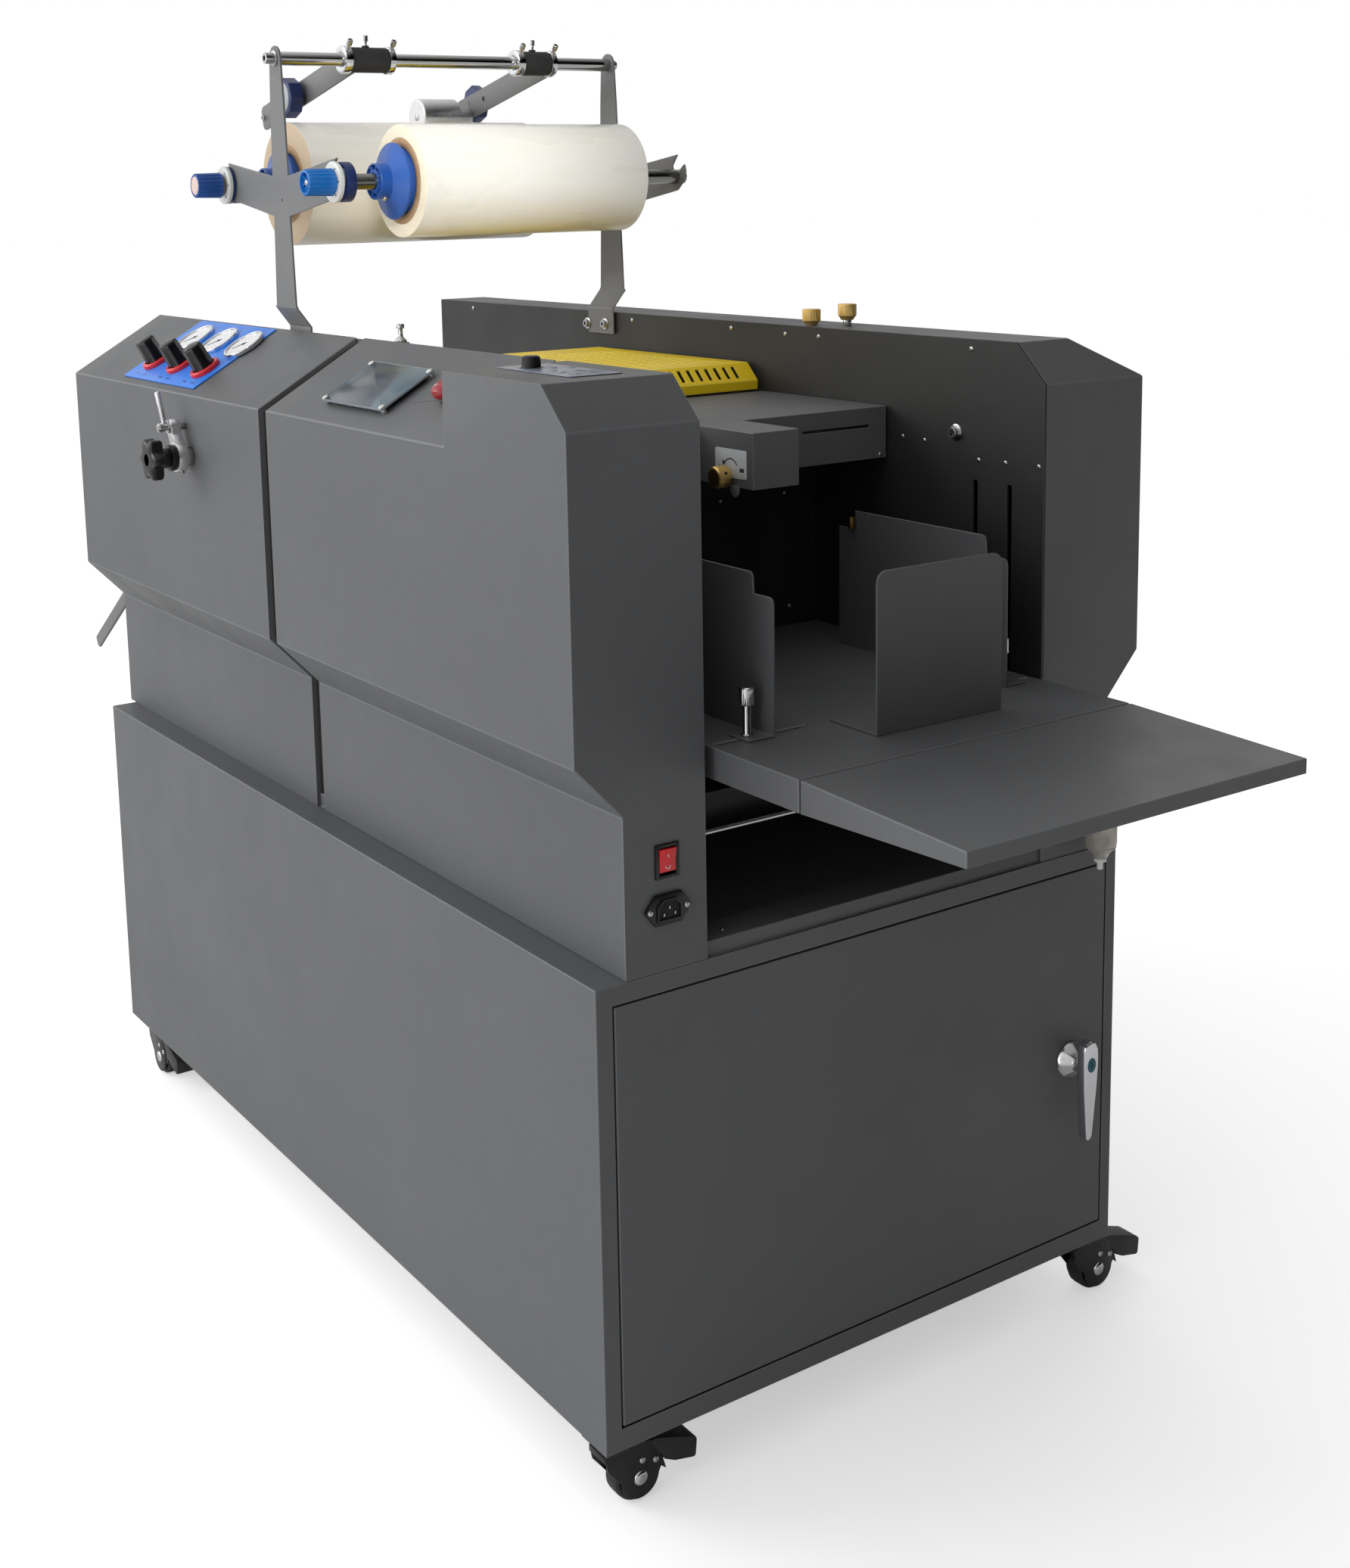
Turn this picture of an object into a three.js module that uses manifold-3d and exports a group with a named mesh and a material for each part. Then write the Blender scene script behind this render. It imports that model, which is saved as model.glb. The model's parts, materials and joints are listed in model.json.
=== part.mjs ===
// Roll-fed cold laminating machine on a caster cabinet, with a sheet feeder at one end.
// Millimetres, +Z up. +X points to the feeder end, -Y to the operator's side.
import * as THREE from "three";
import { mergeVertices } from "three/addons/utils/BufferGeometryUtils.js";
import Module from "manifold-3d";

const wasm = await Module();
wasm.setup();

// ---------------------------------------------------------------- driving dimensions
const GAP = 0.3;                                   // clearance between pieces that meet
const SHEET = 2;                                   // body sheet metal
const CABINET = { x0: 0, x1: 1236, y0: 0, y1: 663, z0: 68, z1: 521 };
const DOOR = { y0: 20, y1: 647, z0: 92, z1: 500, depth: 16 };
const PLINTH = { x0: 2, x1: 1232, y0: 37, y1: 637, height: 15, width: 40 };
const BODY_FLOOR = CABINET.z1 + GAP;
const BODY_TOP = 1058.5;
const FRONT_FACE = -16;                            // operator covers, upper face
const FRONT_WALL = 33;                             // operator covers, set-back lower wall
const FRONT_OPEN = 108;                            // operator covers end here, at the frame
const REAR_OPEN = 551.3;
const REAR_FACE = 690;
const REAR_WALL = 641;
const SHOULDER = 986;                              // foot of the sloped top
const CHAMFER = { low: 673, high: 725 };           // under-cut below the upper face
const TAIL_END = -17;
const TAIL_SPLIT = 595;
const MIDDLE_START = 615;
const TOWER = { x0: 1022, x1: 1236, top: 1056.8, wall: 123, bevel: 41 };
const REAR = { x0: -14, x1: 1235, flat: 622, eaves: 1018 };
const FRAME_PLATE = 3;
const FEEDER_WALL_X = 868;

const CASTER = { wheelRadius: 25, wheelWidth: 21, trail: 20, plate: 44, forkWidth: 29 };
const RACK = { x: 434, z: 1377, shaftZ: 1232, shaftSpan: 152, frontY: 97, rearY: 563, thick: 3, slot: 7 };
const BAR_RADIUS = 8;
const SHAFT_RADIUS = 9;
const CORE_BORE = 38.4;
const ROLLS = {
  front: { x: RACK.x + RACK.shaftSpan, start: 176, width: 300, radius: 64, knobShift: 7, discDepth: 5 },
  rear: { x: RACK.x - RACK.shaftSpan, start: 174, width: 344, radius: 77, knobShift: 0, discDepth: 9 },
};

const BENCH = { x0: 876, x1: 1355, y0: 135.5, y1: 545.5, top: 718, depth: 30, slotX: 1224 };
const LEAF = { x0: 1357, x1: 1561, tipTop: 710.5, tipLow: 696.5 };
const HEAD = { x0: 780, x1: 1000, y0: 124, y1: 545.5, z0: 922, z1: 979 };
const HEAD_BOX = { x1: 1095, y0: 289, y1: 347 };
const GUARD = { x0: 432, x1: 777, y0: 118, y1: 540, top: 1012, bevel: 20, skirt: 981, pitch: 13 };

// ---------------------------------------------------------------- solid helpers
const toSolid = (geometry) => {
  geometry.deleteAttribute("normal");
  geometry.deleteAttribute("uv");
  const merged = mergeVertices(geometry, 1e-4);
  const vertProperties = new Float32Array(merged.attributes.position.array);
  const triVerts = new Uint32Array(merged.index.array);
  return new wasm.Manifold(new wasm.Mesh({ numProp: 3, vertProperties, triVerts }));
};

const toGeometry = (solid) => {
  const mesh = solid.getMesh();
  const geometry = new THREE.BufferGeometry();
  geometry.setAttribute("position", new THREE.BufferAttribute(mesh.vertProperties, 3));
  geometry.setIndex(new THREE.BufferAttribute(mesh.triVerts, 1));
  geometry.computeVertexNormals();
  return geometry;
};

const join = (first, ...rest) => rest.reduce((sum, solid) => sum.add(solid), first);
const cut = (base, ...tools) => tools.reduce((left, tool) => left.subtract(tool), base);

const box = (x0, x1, y0, y1, z0, z1) => {
  const geometry = new THREE.BoxGeometry(x1 - x0, y1 - y0, z1 - z0);
  geometry.translate((x0 + x1) / 2, (y0 + y1) / 2, (z0 + z1) / 2);
  return toSolid(geometry);
};

// A turned piece: rows of [distance along the axis, radius], from one end to the other.
const turned = (rows, axis, centre, sides = 24) => {
  const profile = [new THREE.Vector2(0, rows[0][0])];
  rows.forEach(([along, radius]) => profile.push(new THREE.Vector2(radius, along)));
  profile.push(new THREE.Vector2(0, rows[rows.length - 1][0]));
  const geometry = new THREE.LatheGeometry(profile, sides);
  if (axis === "x") geometry.rotateZ(-Math.PI / 2);
  if (axis === "z") geometry.rotateX(Math.PI / 2);
  geometry.translate(...centre);
  return toSolid(geometry);
};

const disc = (axis, from, to, radius, centre, sides) =>
  turned([[from, radius], [to, radius]], axis, centre, sides);

const outlineShape = (points) => new THREE.Shape(points.map(([u, v]) => new THREE.Vector2(u, v)));

// Outline of [x, z] points, given thickness from y0 to y1.
const plateAlongY = (points, y0, y1) => {
  const geometry = new THREE.ExtrudeGeometry(outlineShape(points), { depth: y1 - y0, bevelEnabled: false });
  geometry.rotateX(Math.PI / 2);
  geometry.translate(0, y1, 0);
  return toSolid(geometry);
};

// Outline of [y, z] points, drawn out from x0 to x1.
const prismAlongX = (points, x0, x1) => {
  const geometry = new THREE.ExtrudeGeometry(outlineShape(points), { depth: x1 - x0, bevelEnabled: false });
  geometry.rotateY(Math.PI / 2);
  geometry.rotateX(Math.PI / 2);
  geometry.translate(x0, 0, 0);
  return toSolid(geometry);
};

// Outline of [x, y] points, drawn up from z0 to z1.
const prismAlongZ = (points, z0, z1) => {
  const geometry = new THREE.ExtrudeGeometry(outlineShape(points), { depth: z1 - z0, bevelEnabled: false });
  geometry.translate(0, 0, z0);
  return toSolid(geometry);
};

const arc = (cx, cy, radius, fromDeg, toDeg, steps) => {
  const points = [];
  for (let i = 0; i <= steps; i += 1) {
    const angle = THREE.MathUtils.degToRad(fromDeg + ((toDeg - fromDeg) * i) / steps);
    points.push([cx + radius * Math.cos(angle), cy + radius * Math.sin(angle)]);
  }
  return points;
};

const roundedRect = (u0, u1, v0, v1, radius) => [
  ...arc(u0 + radius, v0 + radius, radius, 180, 270, 3),
  ...arc(u1 - radius, v0 + radius, radius, 270, 360, 3),
  ...arc(u1 - radius, v1 - radius, radius, 0, 90, 3),
  ...arc(u0 + radius, v1 - radius, radius, 90, 180, 3),
];

// The same outline moved inwards by a distance, whichever way round it is drawn.
const inset = (points, distance) => {
  const area = points.reduce((sum, [u, v], i) => {
    const [nu, nv] = points[(i + 1) % points.length];
    return sum + u * nv - nu * v;
  }, 0);
  const side = Math.sign(area);
  return points.map(([u, v], i) => {
    const before = points[(i + points.length - 1) % points.length];
    const after = points[(i + 1) % points.length];
    const a = new THREE.Vector2(u - before[0], v - before[1]).normalize();
    const b = new THREE.Vector2(after[0] - u, after[1] - v).normalize();
    const na = new THREE.Vector2(-a.y, a.x).multiplyScalar(side);
    const nb = new THREE.Vector2(-b.y, b.x).multiplyScalar(side);
    const move = na.add(nb).multiplyScalar(distance / (1 + na.dot(nb)));
    return [u + move.x, v + move.y];
  });
};

// ---------------------------------------------------------------- materials
const finish = (color, roughness, metalness) => new THREE.MeshStandardMaterial({ color, roughness, metalness });
const GREY = finish(0x5b5d5e, 0.6, 0.3);
const RACK_GREY = finish(0x6a6b6d, 0.55, 0.3);
const BLACK = finish(0x1c1c1e, 0.5, 0);
const CHROME = finish(0xd5d6d8, 0.12, 1);
const STEEL = finish(0xa9abad, 0.3, 1);
const BRASS = finish(0xc08a3c, 0.28, 1);
const BLUE = finish(0x1f4fb0, 0.4, 0);
const YELLOW = finish(0xf2cf1d, 0.45, 0);
const RED = finish(0xc3202a, 0.35, 0);
const FILM = finish(0xe9e5cf, 0.3, 0);
const RUBBER = finish(0x222222, 0.85, 0);
const GLASS = finish(0x7f949c, 0.08, 0);
const CLEAR = finish(0xb9b7b0, 0.15, 0);

const laminator = new THREE.Group();

const add = (name, solid, material, parent = laminator) => {
  const mesh = new THREE.Mesh(toGeometry(solid), material);
  mesh.name = name;
  parent.add(mesh);
  return mesh;
};

// ---------------------------------------------------------------- cabinet
// Room for the raised ring on the cabinet top, taken out of whatever stands over it.
const plinthRoom = () => box(PLINTH.x0 - GAP, PLINTH.x1 + GAP, PLINTH.y0 - GAP, PLINTH.y1 + GAP,
  CABINET.z1, CABINET.z1 + PLINTH.height + GAP);

function baseCabinet() {
  const { x0, x1, y0, y1, z0, z1 } = CABINET;
  const outer = box(x0, x1, y0, y1, z0, z1);
  const inner = box(x0 + SHEET, x1 - SHEET, y0 + SHEET, y1 - SHEET, z0 + SHEET, z1 - SHEET);
  const doorway = box(x1 - 5, x1 + 5, DOOR.y0 - 2, DOOR.y1 + 2, DOOR.z0 - 2, DOOR.z1 + 2);
  const ringTop = z1 + PLINTH.height;
  const ring = cut(
    box(PLINTH.x0, PLINTH.x1, PLINTH.y0, PLINTH.y1, z1 - 1, ringTop),
    box(PLINTH.x0 + PLINTH.width, PLINTH.x1 - PLINTH.width, PLINTH.y0 + PLINTH.width,
      PLINTH.y1 - PLINTH.width, z1, ringTop + 1),
  );
  add("base_cabinet", join(cut(outer, inner, doorway), ring), GREY);
}

function cabinetDoor() {
  const x1 = CABINET.x1;
  const leaf = box(x1 - DOOR.depth, x1, DOOR.y0, DOOR.y1, DOOR.z0, DOOR.z1);
  const hollow = box(x1 - DOOR.depth - 1, x1 - SHEET, DOOR.y0 + SHEET, DOOR.y1 - SHEET,
    DOOR.z0 + SHEET, DOOR.z1 - SHEET);
  add("cabinet_door", cut(leaf, hollow), GREY);
}

const LEVER = { y: 597, z: 293, standOff: 20, thick: 12, reach: 80, above: 31 };

function doorLever() {
  const face = CABINET.x1 + GAP;
  const rose = turned([[0, 20], [5, 19], [13, 10], [LEVER.standOff + 1, 9]], "x", [face, LEVER.y, LEVER.z], 8);
  const grip = prismAlongX([
    [LEVER.y - 11, LEVER.z + 20],
    [LEVER.y - 6, LEVER.z + LEVER.above],
    [LEVER.y + 6, LEVER.z + LEVER.above],
    [LEVER.y + 11, LEVER.z + 20],
    [LEVER.y + 10, LEVER.z - 14],
    [LEVER.y + 1, LEVER.z - LEVER.reach],
    [LEVER.y - 7, LEVER.z - LEVER.reach],
    [LEVER.y - 11, LEVER.z - 14],
  ], face + LEVER.standOff, face + LEVER.standOff + LEVER.thick);
  add("door_lever", join(rose, grip), CHROME);
}

// A swivel caster in its own frame: the swivel axis is Z, the wheel trails along +X.
function caster(name, x, y, heading) {
  const top = CABINET.z0 - GAP;
  const { wheelRadius, wheelWidth, trail, plate, forkWidth } = CASTER;
  const half = forkWidth / 2;
  const cheekOutline = [
    [-19, top - 8],
    [-15, wheelRadius + 14],
    ...arc(trail, wheelRadius, 20, 190, 350, 6),
    [trail + 21, wheelRadius + 14],
    [30, top - 8],
  ];
  const cheek = (y0) => plateAlongY(cheekOutline, y0, y0 + 2.5);
  const pedal = plateAlongY([
    [26, top - 16], [26, top - 9], [40, top - 10], [80, top - 24], [86, top - 30], [84, top - 47],
    [60, top - 42], [48.5, top - 36], [44, top - 29], [36, top - 20],
  ], -14, 14);
  const fork = join(
    box(-plate / 2, plate / 2, -plate / 2, plate / 2, top - 3, top),
    disc("z", top - 12, top - 2, 17, [0, 0, 0], 14),
    box(-19, 30, -half, half, top - 15, top - 8),
    cheek(-half),
    cheek(half - 2.5),
    pedal,
  );
  const cornerGroup = new THREE.Group();
  cornerGroup.position.set(x, y, 0);
  cornerGroup.rotation.z = THREE.MathUtils.degToRad(heading);
  const cleared = cut(fork, disc("y", -half - 1, half + 1, 4.3, [trail, 0, wheelRadius], 10));
  add(`caster_fork_${name}`, cleared, BLACK, cornerGroup);
  const tread = wheelWidth / 2;
  const wheel = turned([
    [-half - 3, 3.9], [-tread, 3.9], [-tread, wheelRadius - 2], [-tread + 2, wheelRadius],
    [tread - 2, wheelRadius], [tread, wheelRadius - 2], [tread, 3.9], [half + 3, 3.9],
  ], "y", [trail, 0, wheelRadius], 20);
  add(`caster_wheel_${name}`, wheel, BLACK, cornerGroup);
  laminator.add(cornerGroup);
}

// ---------------------------------------------------------------- frame plates and covers
const SPEED_KNOB = { x: 1069, y: 53 };
const STOP_BUTTON = { x: 928, up: 69 };
const STEM = 6;
const ROCKER = { y0: 67, y1: 91, z0: 609.5, z1: 640.5, tilt: 7 };
const SLOPE_ANGLE = Math.atan2(BODY_TOP - SHOULDER, FRONT_OPEN - FRONT_FACE);
const SLOPE_DEGREES = THREE.MathUtils.radToDeg(SLOPE_ANGLE);

function operatorFrame() {
  const y0 = FRONT_OPEN + GAP;
  const top = BODY_TOP - 2;
  const plate = plateAlongY(roundedRect(TAIL_END + 3, TOWER.x0 - GAP, CABINET.z1 + PLINTH.height + GAP, top, 3),
    y0, y0 + FRAME_PLATE);
  add("operator_frame", plate, GREY);
}

const LIFT_SLOTS = [1137, 1187];

function rearFrame() {
  const y1 = REAR_OPEN - GAP;
  const outline = [
    [REAR.x0, CABINET.z1 + PLINTH.height + GAP],
    [REAR.x1, CABINET.z1 + PLINTH.height + GAP],
    [REAR.x1, REAR.eaves],
    [REAR.x1 - TOWER.bevel, BODY_TOP],
    [REAR.x0, BODY_TOP],
  ];
  const slots = LIFT_SLOTS.map((x) => plateAlongY(roundedRect(x - 3.5, x + 3.5, 686, 912, 3), 540, 560));
  add("rear_frame", cut(plateAlongY(outline, y1 - FRAME_PLATE, y1), ...slots), BLACK);
}

const coverOutline = [
  [FRONT_OPEN, BODY_TOP],
  [FRONT_FACE, SHOULDER],
  [FRONT_FACE, CHAMFER.high],
  [FRONT_WALL, CHAMFER.low],
  [FRONT_WALL, BODY_FLOOR],
  [FRONT_OPEN, BODY_FLOOR],
];

// The hollow inside a cover, run out past its open side.
const hollowOf = (outline, openAt, beyond) =>
  inset(outline, SHEET).map(([y, z]) => (Math.abs(y - openAt) < 3 * SHEET ? [beyond, z] : [y, z]));

const TAIL_LEVER = { x: 30, z: 705, drop: 34, width: 18, y: 37 };

function tailCover() {
  const shell = prismAlongX(coverOutline, TAIL_END, TAIL_SPLIT);
  const hollow = prismAlongX(hollowOf(coverOutline, FRONT_OPEN, FRONT_OPEN + 9),
    TAIL_END + SHEET, TAIL_SPLIT - SHEET);
  const leverSlot = box(TAIL_END - 1, TAIL_END + 9, TAIL_LEVER.y - 3, TAIL_LEVER.y + 7, 640, 698);
  add("tail_cover", cut(shell, hollow, leverSlot, plinthRoom()), GREY);
}

const endBevel = (xEnd, y0, y1, depth) => plateAlongY([
  [xEnd - TOWER.bevel - depth, BODY_TOP + 1],
  [xEnd - TOWER.bevel - depth, BODY_TOP - depth],
  [xEnd - depth, REAR.eaves - depth],
  [xEnd - depth, REAR.eaves - depth - 1],
  [xEnd + 9, REAR.eaves - depth - 1],
  [xEnd + 9, BODY_TOP + 1],
], y0, y1);

function operatorCover() {
  const { x0, x1, wall } = TOWER;
  const towerOutline = [
    [wall, TOWER.top],
    [FRONT_FACE, TOWER.top],
    [FRONT_FACE, CHAMFER.high],
    [FRONT_WALL, CHAMFER.low],
    [FRONT_WALL, BODY_FLOOR],
    [wall, BODY_FLOOR],
  ];
  const bevel = plateAlongY([
    [x1 - TOWER.bevel, BODY_TOP + 1], [x1 - TOWER.bevel, BODY_TOP], [x1, REAR.eaves],
    [x1 + 1, REAR.eaves], [x1 + 1, BODY_TOP + 1],
  ], FRONT_FACE - 1, wall + 1);
  const tower = cut(prismAlongX(towerOutline, x0, x1), bevel);
  const middle = prismAlongX(coverOutline, MIDDLE_START, x0 + 1);
  const innerBevel = endBevel(x1, FRONT_FACE - 1, wall + 1, SHEET);
  const towerHollow = cut(prismAlongX(inset(towerOutline, SHEET), x0 + SHEET, x1 - SHEET), innerBevel);
  const middleHollow = prismAlongX(hollowOf(coverOutline, FRONT_OPEN, FRONT_OPEN + 9), MIDDLE_START + SHEET, x0);
  const passage = prismAlongX(inset(coverOutline, SHEET + 1), x0 - 5, x0 + SHEET + 5);
  const speedHole = disc("z", BODY_TOP - 9, BODY_TOP + 9, 4, [SPEED_KNOB.x, SPEED_KNOB.y, 0], 12);
  const buttonHole = disc("z", -9, 9, STEM + GAP, [STOP_BUTTON.x, STOP_BUTTON.up, 0], 16)
    .rotate([SLOPE_DEGREES, 0, 0]).translate([0, FRONT_FACE, SHOULDER]);
  const rockerHole = box(x1 - 9, x1 + 9, ROCKER.y0, ROCKER.y1, ROCKER.z0, ROCKER.z1);
  const shell = cut(join(tower, middle), towerHollow, middleHollow, passage);
  add("operator_cover", cut(shell, speedHole, buttonHole, rockerHole, plinthRoom()), GREY);
}

function rearCover() {
  const { x0, x1, flat, eaves } = REAR;
  const outline = [
    [REAR_OPEN, BODY_TOP],
    [flat, BODY_TOP],
    [REAR_FACE, eaves],
    [REAR_FACE, CHAMFER.high + 2],
    [REAR_WALL, CHAMFER.low + 2],
    [REAR_WALL, BODY_FLOOR],
    [REAR_OPEN, BODY_FLOOR],
  ];
  const bevel = plateAlongY([
    [x1 - TOWER.bevel, BODY_TOP + 1], [x1 - TOWER.bevel, BODY_TOP], [x1, eaves],
    [x1 + 1, eaves], [x1 + 1, BODY_TOP + 1],
  ], REAR_OPEN - 1, REAR_FACE + 1);
  const shell = cut(prismAlongX(outline, x0, x1), bevel);
  const innerBevel = endBevel(x1, REAR_OPEN - 20, REAR_FACE + 1, SHEET);
  const hollow = cut(prismAlongX(hollowOf(outline, REAR_OPEN, REAR_OPEN - 9), x0 + SHEET, x1 - SHEET), innerBevel);
  const knobHoles = LATCH_KNOBS.map(({ x, y }) => disc("z", BODY_TOP - 9, BODY_TOP + 9, 4, [x, y, 0], 12));
  add("rear_cover", cut(shell, hollow, ...knobHoles, plinthRoom()), GREY);
}

function feederWall() {
  const y0 = FRONT_OPEN + FRAME_PLATE + 2 * GAP;
  const y1 = REAR_OPEN - FRAME_PLATE - 2 * GAP;
  add("feeder_wall", box(FEEDER_WALL_X, FEEDER_WALL_X + SHEET, y0, y1,
    CABINET.z1 + PLINTH.height + GAP, HEAD.z0 - GAP), BLACK);
}

function filmGuard() {
  const { x0, x1, y0, y1, top, bevel, skirt } = GUARD;
  const outer = [[x0, top], [x1 - bevel, top], [x1, top - bevel], [x1, skirt], [x0, skirt]];
  const sheet = plateAlongY(outer, y0, y1);
  const under = plateAlongY([
    [x0 + SHEET, top - SHEET], [x1 - bevel - 1, top - SHEET], [x1 - SHEET, top - bevel - 1],
    [x1 - SHEET, skirt - 1], [x0 + SHEET, skirt - 1],
  ], y0 - 1, y1 + 1);
  const slots = [];
  for (let y = y0 + 17; y < y1 - 17; y += GUARD.pitch) {
    slots.push(box(x0 + 60, x1 - bevel - 22, y, y + 4.5, top - 6, top + 6));
    slots.push(box(-9, 9, y, y + 5, -6, 6).rotate([0, 45, 0]).translate([x1 - bevel / 2, 0, top - bevel / 2]));
  }
  add("film_guard", cut(sheet, under, ...slots), YELLOW);
}

// ---------------------------------------------------------------- sheet feeder
const HEAD_KNOB = { x: 1053, z: 932 };

function feedHead() {
  const { x0, x1, y0, y1, z0, z1 } = HEAD;
  const shelf = box(x0, x1, y0, y1, z0, z1);
  const shelfHollow = box(x0 + SHEET, x1 - SHEET, y0 + SHEET, y1 - SHEET, z0 - 1, z1 - SHEET);
  const nose = box(x1 - 1, HEAD_BOX.x1, HEAD_BOX.y0, HEAD_BOX.y1, z0, z1);
  const noseHollow = box(x1 + SHEET, HEAD_BOX.x1 - SHEET, HEAD_BOX.y0 + SHEET, HEAD_BOX.y1 - SHEET,
    z0 - 1, z1 - SHEET);
  const sheetSlot = box(x1 - 9, x1 + 9, 428, 521, z1 - 22, z1 - 19);
  add("feed_head", cut(join(shelf, nose), shelfHollow, noseHollow, sheetSlot), GREY);
}

function headKnob() {
  const y = HEAD_BOX.y0 - GAP;
  add("head_knob", turned([[-18, 10.5], [-16.5, 11.5], [-4, 11.5], [-3, 7], [0, 7]], "y",
    [HEAD_KNOB.x, y, HEAD_KNOB.z], 20), BRASS);
}

const GUIDE_SLOTS = { near: [142, 251], far: [431, 540] };

function feedBench() {
  const { x0, x1, y0, y1, top, depth, slotX } = BENCH;
  const slab = box(x0, x1, y0, y1, top - depth, top);
  const under = box(x0 + SHEET, x1 - SHEET, y0 + SHEET, y1 - SHEET, top - depth - 1, top - SHEET);
  const lugs = LIFT_SLOTS.map((x) => box(x - 2, x + 2, y1 - 1, y1 + 18, top - 27, top - 8));
  const slots = Object.values(GUIDE_SLOTS).map(([from, to]) =>
    prismAlongZ(roundedRect(slotX - 3.5, slotX + 3.5, from, to, 3), top - 5, top + 1));
  const stopSlots = [300, 382].map((y) =>
    prismAlongZ(roundedRect(1232, 1291, y - 3, y + 3, 2.5), top - 5, top + 1));
  add("feed_bench", cut(join(cut(slab, under), ...lugs), ...slots, ...stopSlots), GREY);
}

function extensionTable() {
  const { x0, x1, tipTop, tipLow } = LEAF;
  const { y0, y1, top, depth } = BENCH;
  const outline = [[x0, top], [x1, tipTop], [x1, tipLow], [x0, top - depth]];
  const under = [
    [x0 + SHEET, top - SHEET - 0.2], [x1 - SHEET, tipTop - SHEET - 0.2],
    [x1 - SHEET, tipLow - 1], [x0 + SHEET, top - depth - 1],
  ];
  const leaf = cut(plateAlongY(outline, y0, y1), plateAlongY(under, y0 + SHEET, y1 - SHEET));
  add("extension_table", leaf, GREY);
}

// side is -1 for the guide whose foot turns to the operator, +1 for the far one.
const GUIDES = {
  near: { x0: 983, x1: 1241, y: 199, side: -1, screw: 180 },
  far: { x0: 983, x1: 1241, y: 493, side: 1, screw: 503 },
};

function paperGuide(name) {
  const { x0, x1, y, side, screw } = GUIDES[name];
  const z0 = BENCH.top + GAP;
  const high = z0 + 151;
  const low = z0 + 131;
  const outline = [
    [x0, z0], [x1, z0], ...arc(x1 - 6, low - 6, 6, 0, 90, 3), [x1 - 29, low],
    ...arc(x1 - 36, high - 6, 6, 0, 90, 3), [x0 + 27, high], [x0 + 27, low], [x0, low],
  ];
  const wall = plateAlongY(outline, y - 1, y + 1);
  const footEdge = y + side * 29;
  const foot = box(x1 - 32, x1 - 1, Math.min(y, footEdge), Math.max(y, footEdge), z0, z0 + 2);
  const screwHole = disc("z", z0 - 9, z0 + 9, 3.3, [BENCH.slotX, screw, 0], 12);
  add(`${name}_guide`, cut(join(wall, foot), screwHole), GREY);
  const thumbscrew = turned([
    [z0, 2.8], [z0 + SHEET + GAP, 2.8], [z0 + SHEET + GAP, 4], [z0 + 31, 4], [z0 + 31, 7],
    [z0 + 46, 7], [z0 + 48, 6],
  ], "z", [BENCH.slotX, screw, 0], 14);
  add(`${name}_thumbscrew`, thumbscrew, CHROME);
}

const STOP = { x: 1296, y0: 275, y1: 432, height: 154, foot: 68 };

function frontStop() {
  const { x, y0, y1, height, foot } = STOP;
  const z0 = BENCH.top + GAP;
  const outline = [
    [y0, z0], [y1, z0], ...arc(y1 - 12, z0 + height - 12, 12, 0, 90, 4),
    ...arc(y0 + 12, z0 + height - 12, 12, 90, 180, 4),
  ];
  const plate = prismAlongX(outline, x - SHEET, x);
  add("front_stop", join(plate, box(x - foot, x, y0, y1, z0, z0 + SHEET)), GREY);
}

// ---------------------------------------------------------------- controls
// A group lying on the sloped top: X along the machine, Y up the slope from its foot, Z off it.
function slopeGroup() {
  const group = new THREE.Group();
  group.position.set(0, FRONT_FACE, SHOULDER);
  group.rotation.x = SLOPE_ANGLE;
  laminator.add(group);
  return group;
}

const REGULATORS = { knobs: [191, 271, 351], up: 47, gauges: [211, 290, 368], gaugeUp: 99, gaugeRadius: 27 };
const PANEL = { x0: 148, x1: 385, up0: 11, up1: 139, thick: 1.5 };

function regulatorPanel(slope) {
  const { x0, x1, up0, up1, thick } = PANEL;
  const { knobs, up, gauges, gaugeUp, gaugeRadius } = REGULATORS;
  const cans = gauges.map((x) => disc("z", GAP + thick - 1, GAP + 7, gaugeRadius, [x, gaugeUp, 0], 24));
  const plate = prismAlongZ(roundedRect(x0, x1, up0, up1, 3), GAP, GAP + thick);
  add("regulator_panel", join(plate, ...cans), BLUE, slope);
  knobs.forEach((x, i) => {
    const base = 2 * GAP + thick;
    const knob = turned([[base + 4.5, 14], [base + 32, 12.7], [base + 35, 11]], "z", [x, up, 0], 8);
    const collar = disc("z", base, base + 6, 9, [x, up, 0], 12);
    add(`regulator_knob_${i + 1}`, join(knob, collar), BLACK, slope);
  });
}

function touchScreen(slope) {
  const plate = prismAlongZ(roundedRect(720, 858, 26, 98, 2), 5, 8);
  const feet = [[726, 33], [851, 33], [726, 91], [851, 91]].map(([x, up]) =>
    disc("z", GAP, 5.5, 3.5, [x, up, 0], 8));
  const display = box(731, 846, 33, 91, GAP, 5.5);
  add("touch_screen", join(plate, ...feet, display), GLASS, slope);
}

function stopButton(slope) {
  const rows = [[-8, STEM], [4.8, STEM], [4.8, 12.5], [6.5, 14], [13, 14], [17, 9]];
  const button = turned(rows, "z", [STOP_BUTTON.x, STOP_BUTTON.up, 0], 20);
  add("stop_button", button, RED, slope);
}

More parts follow.
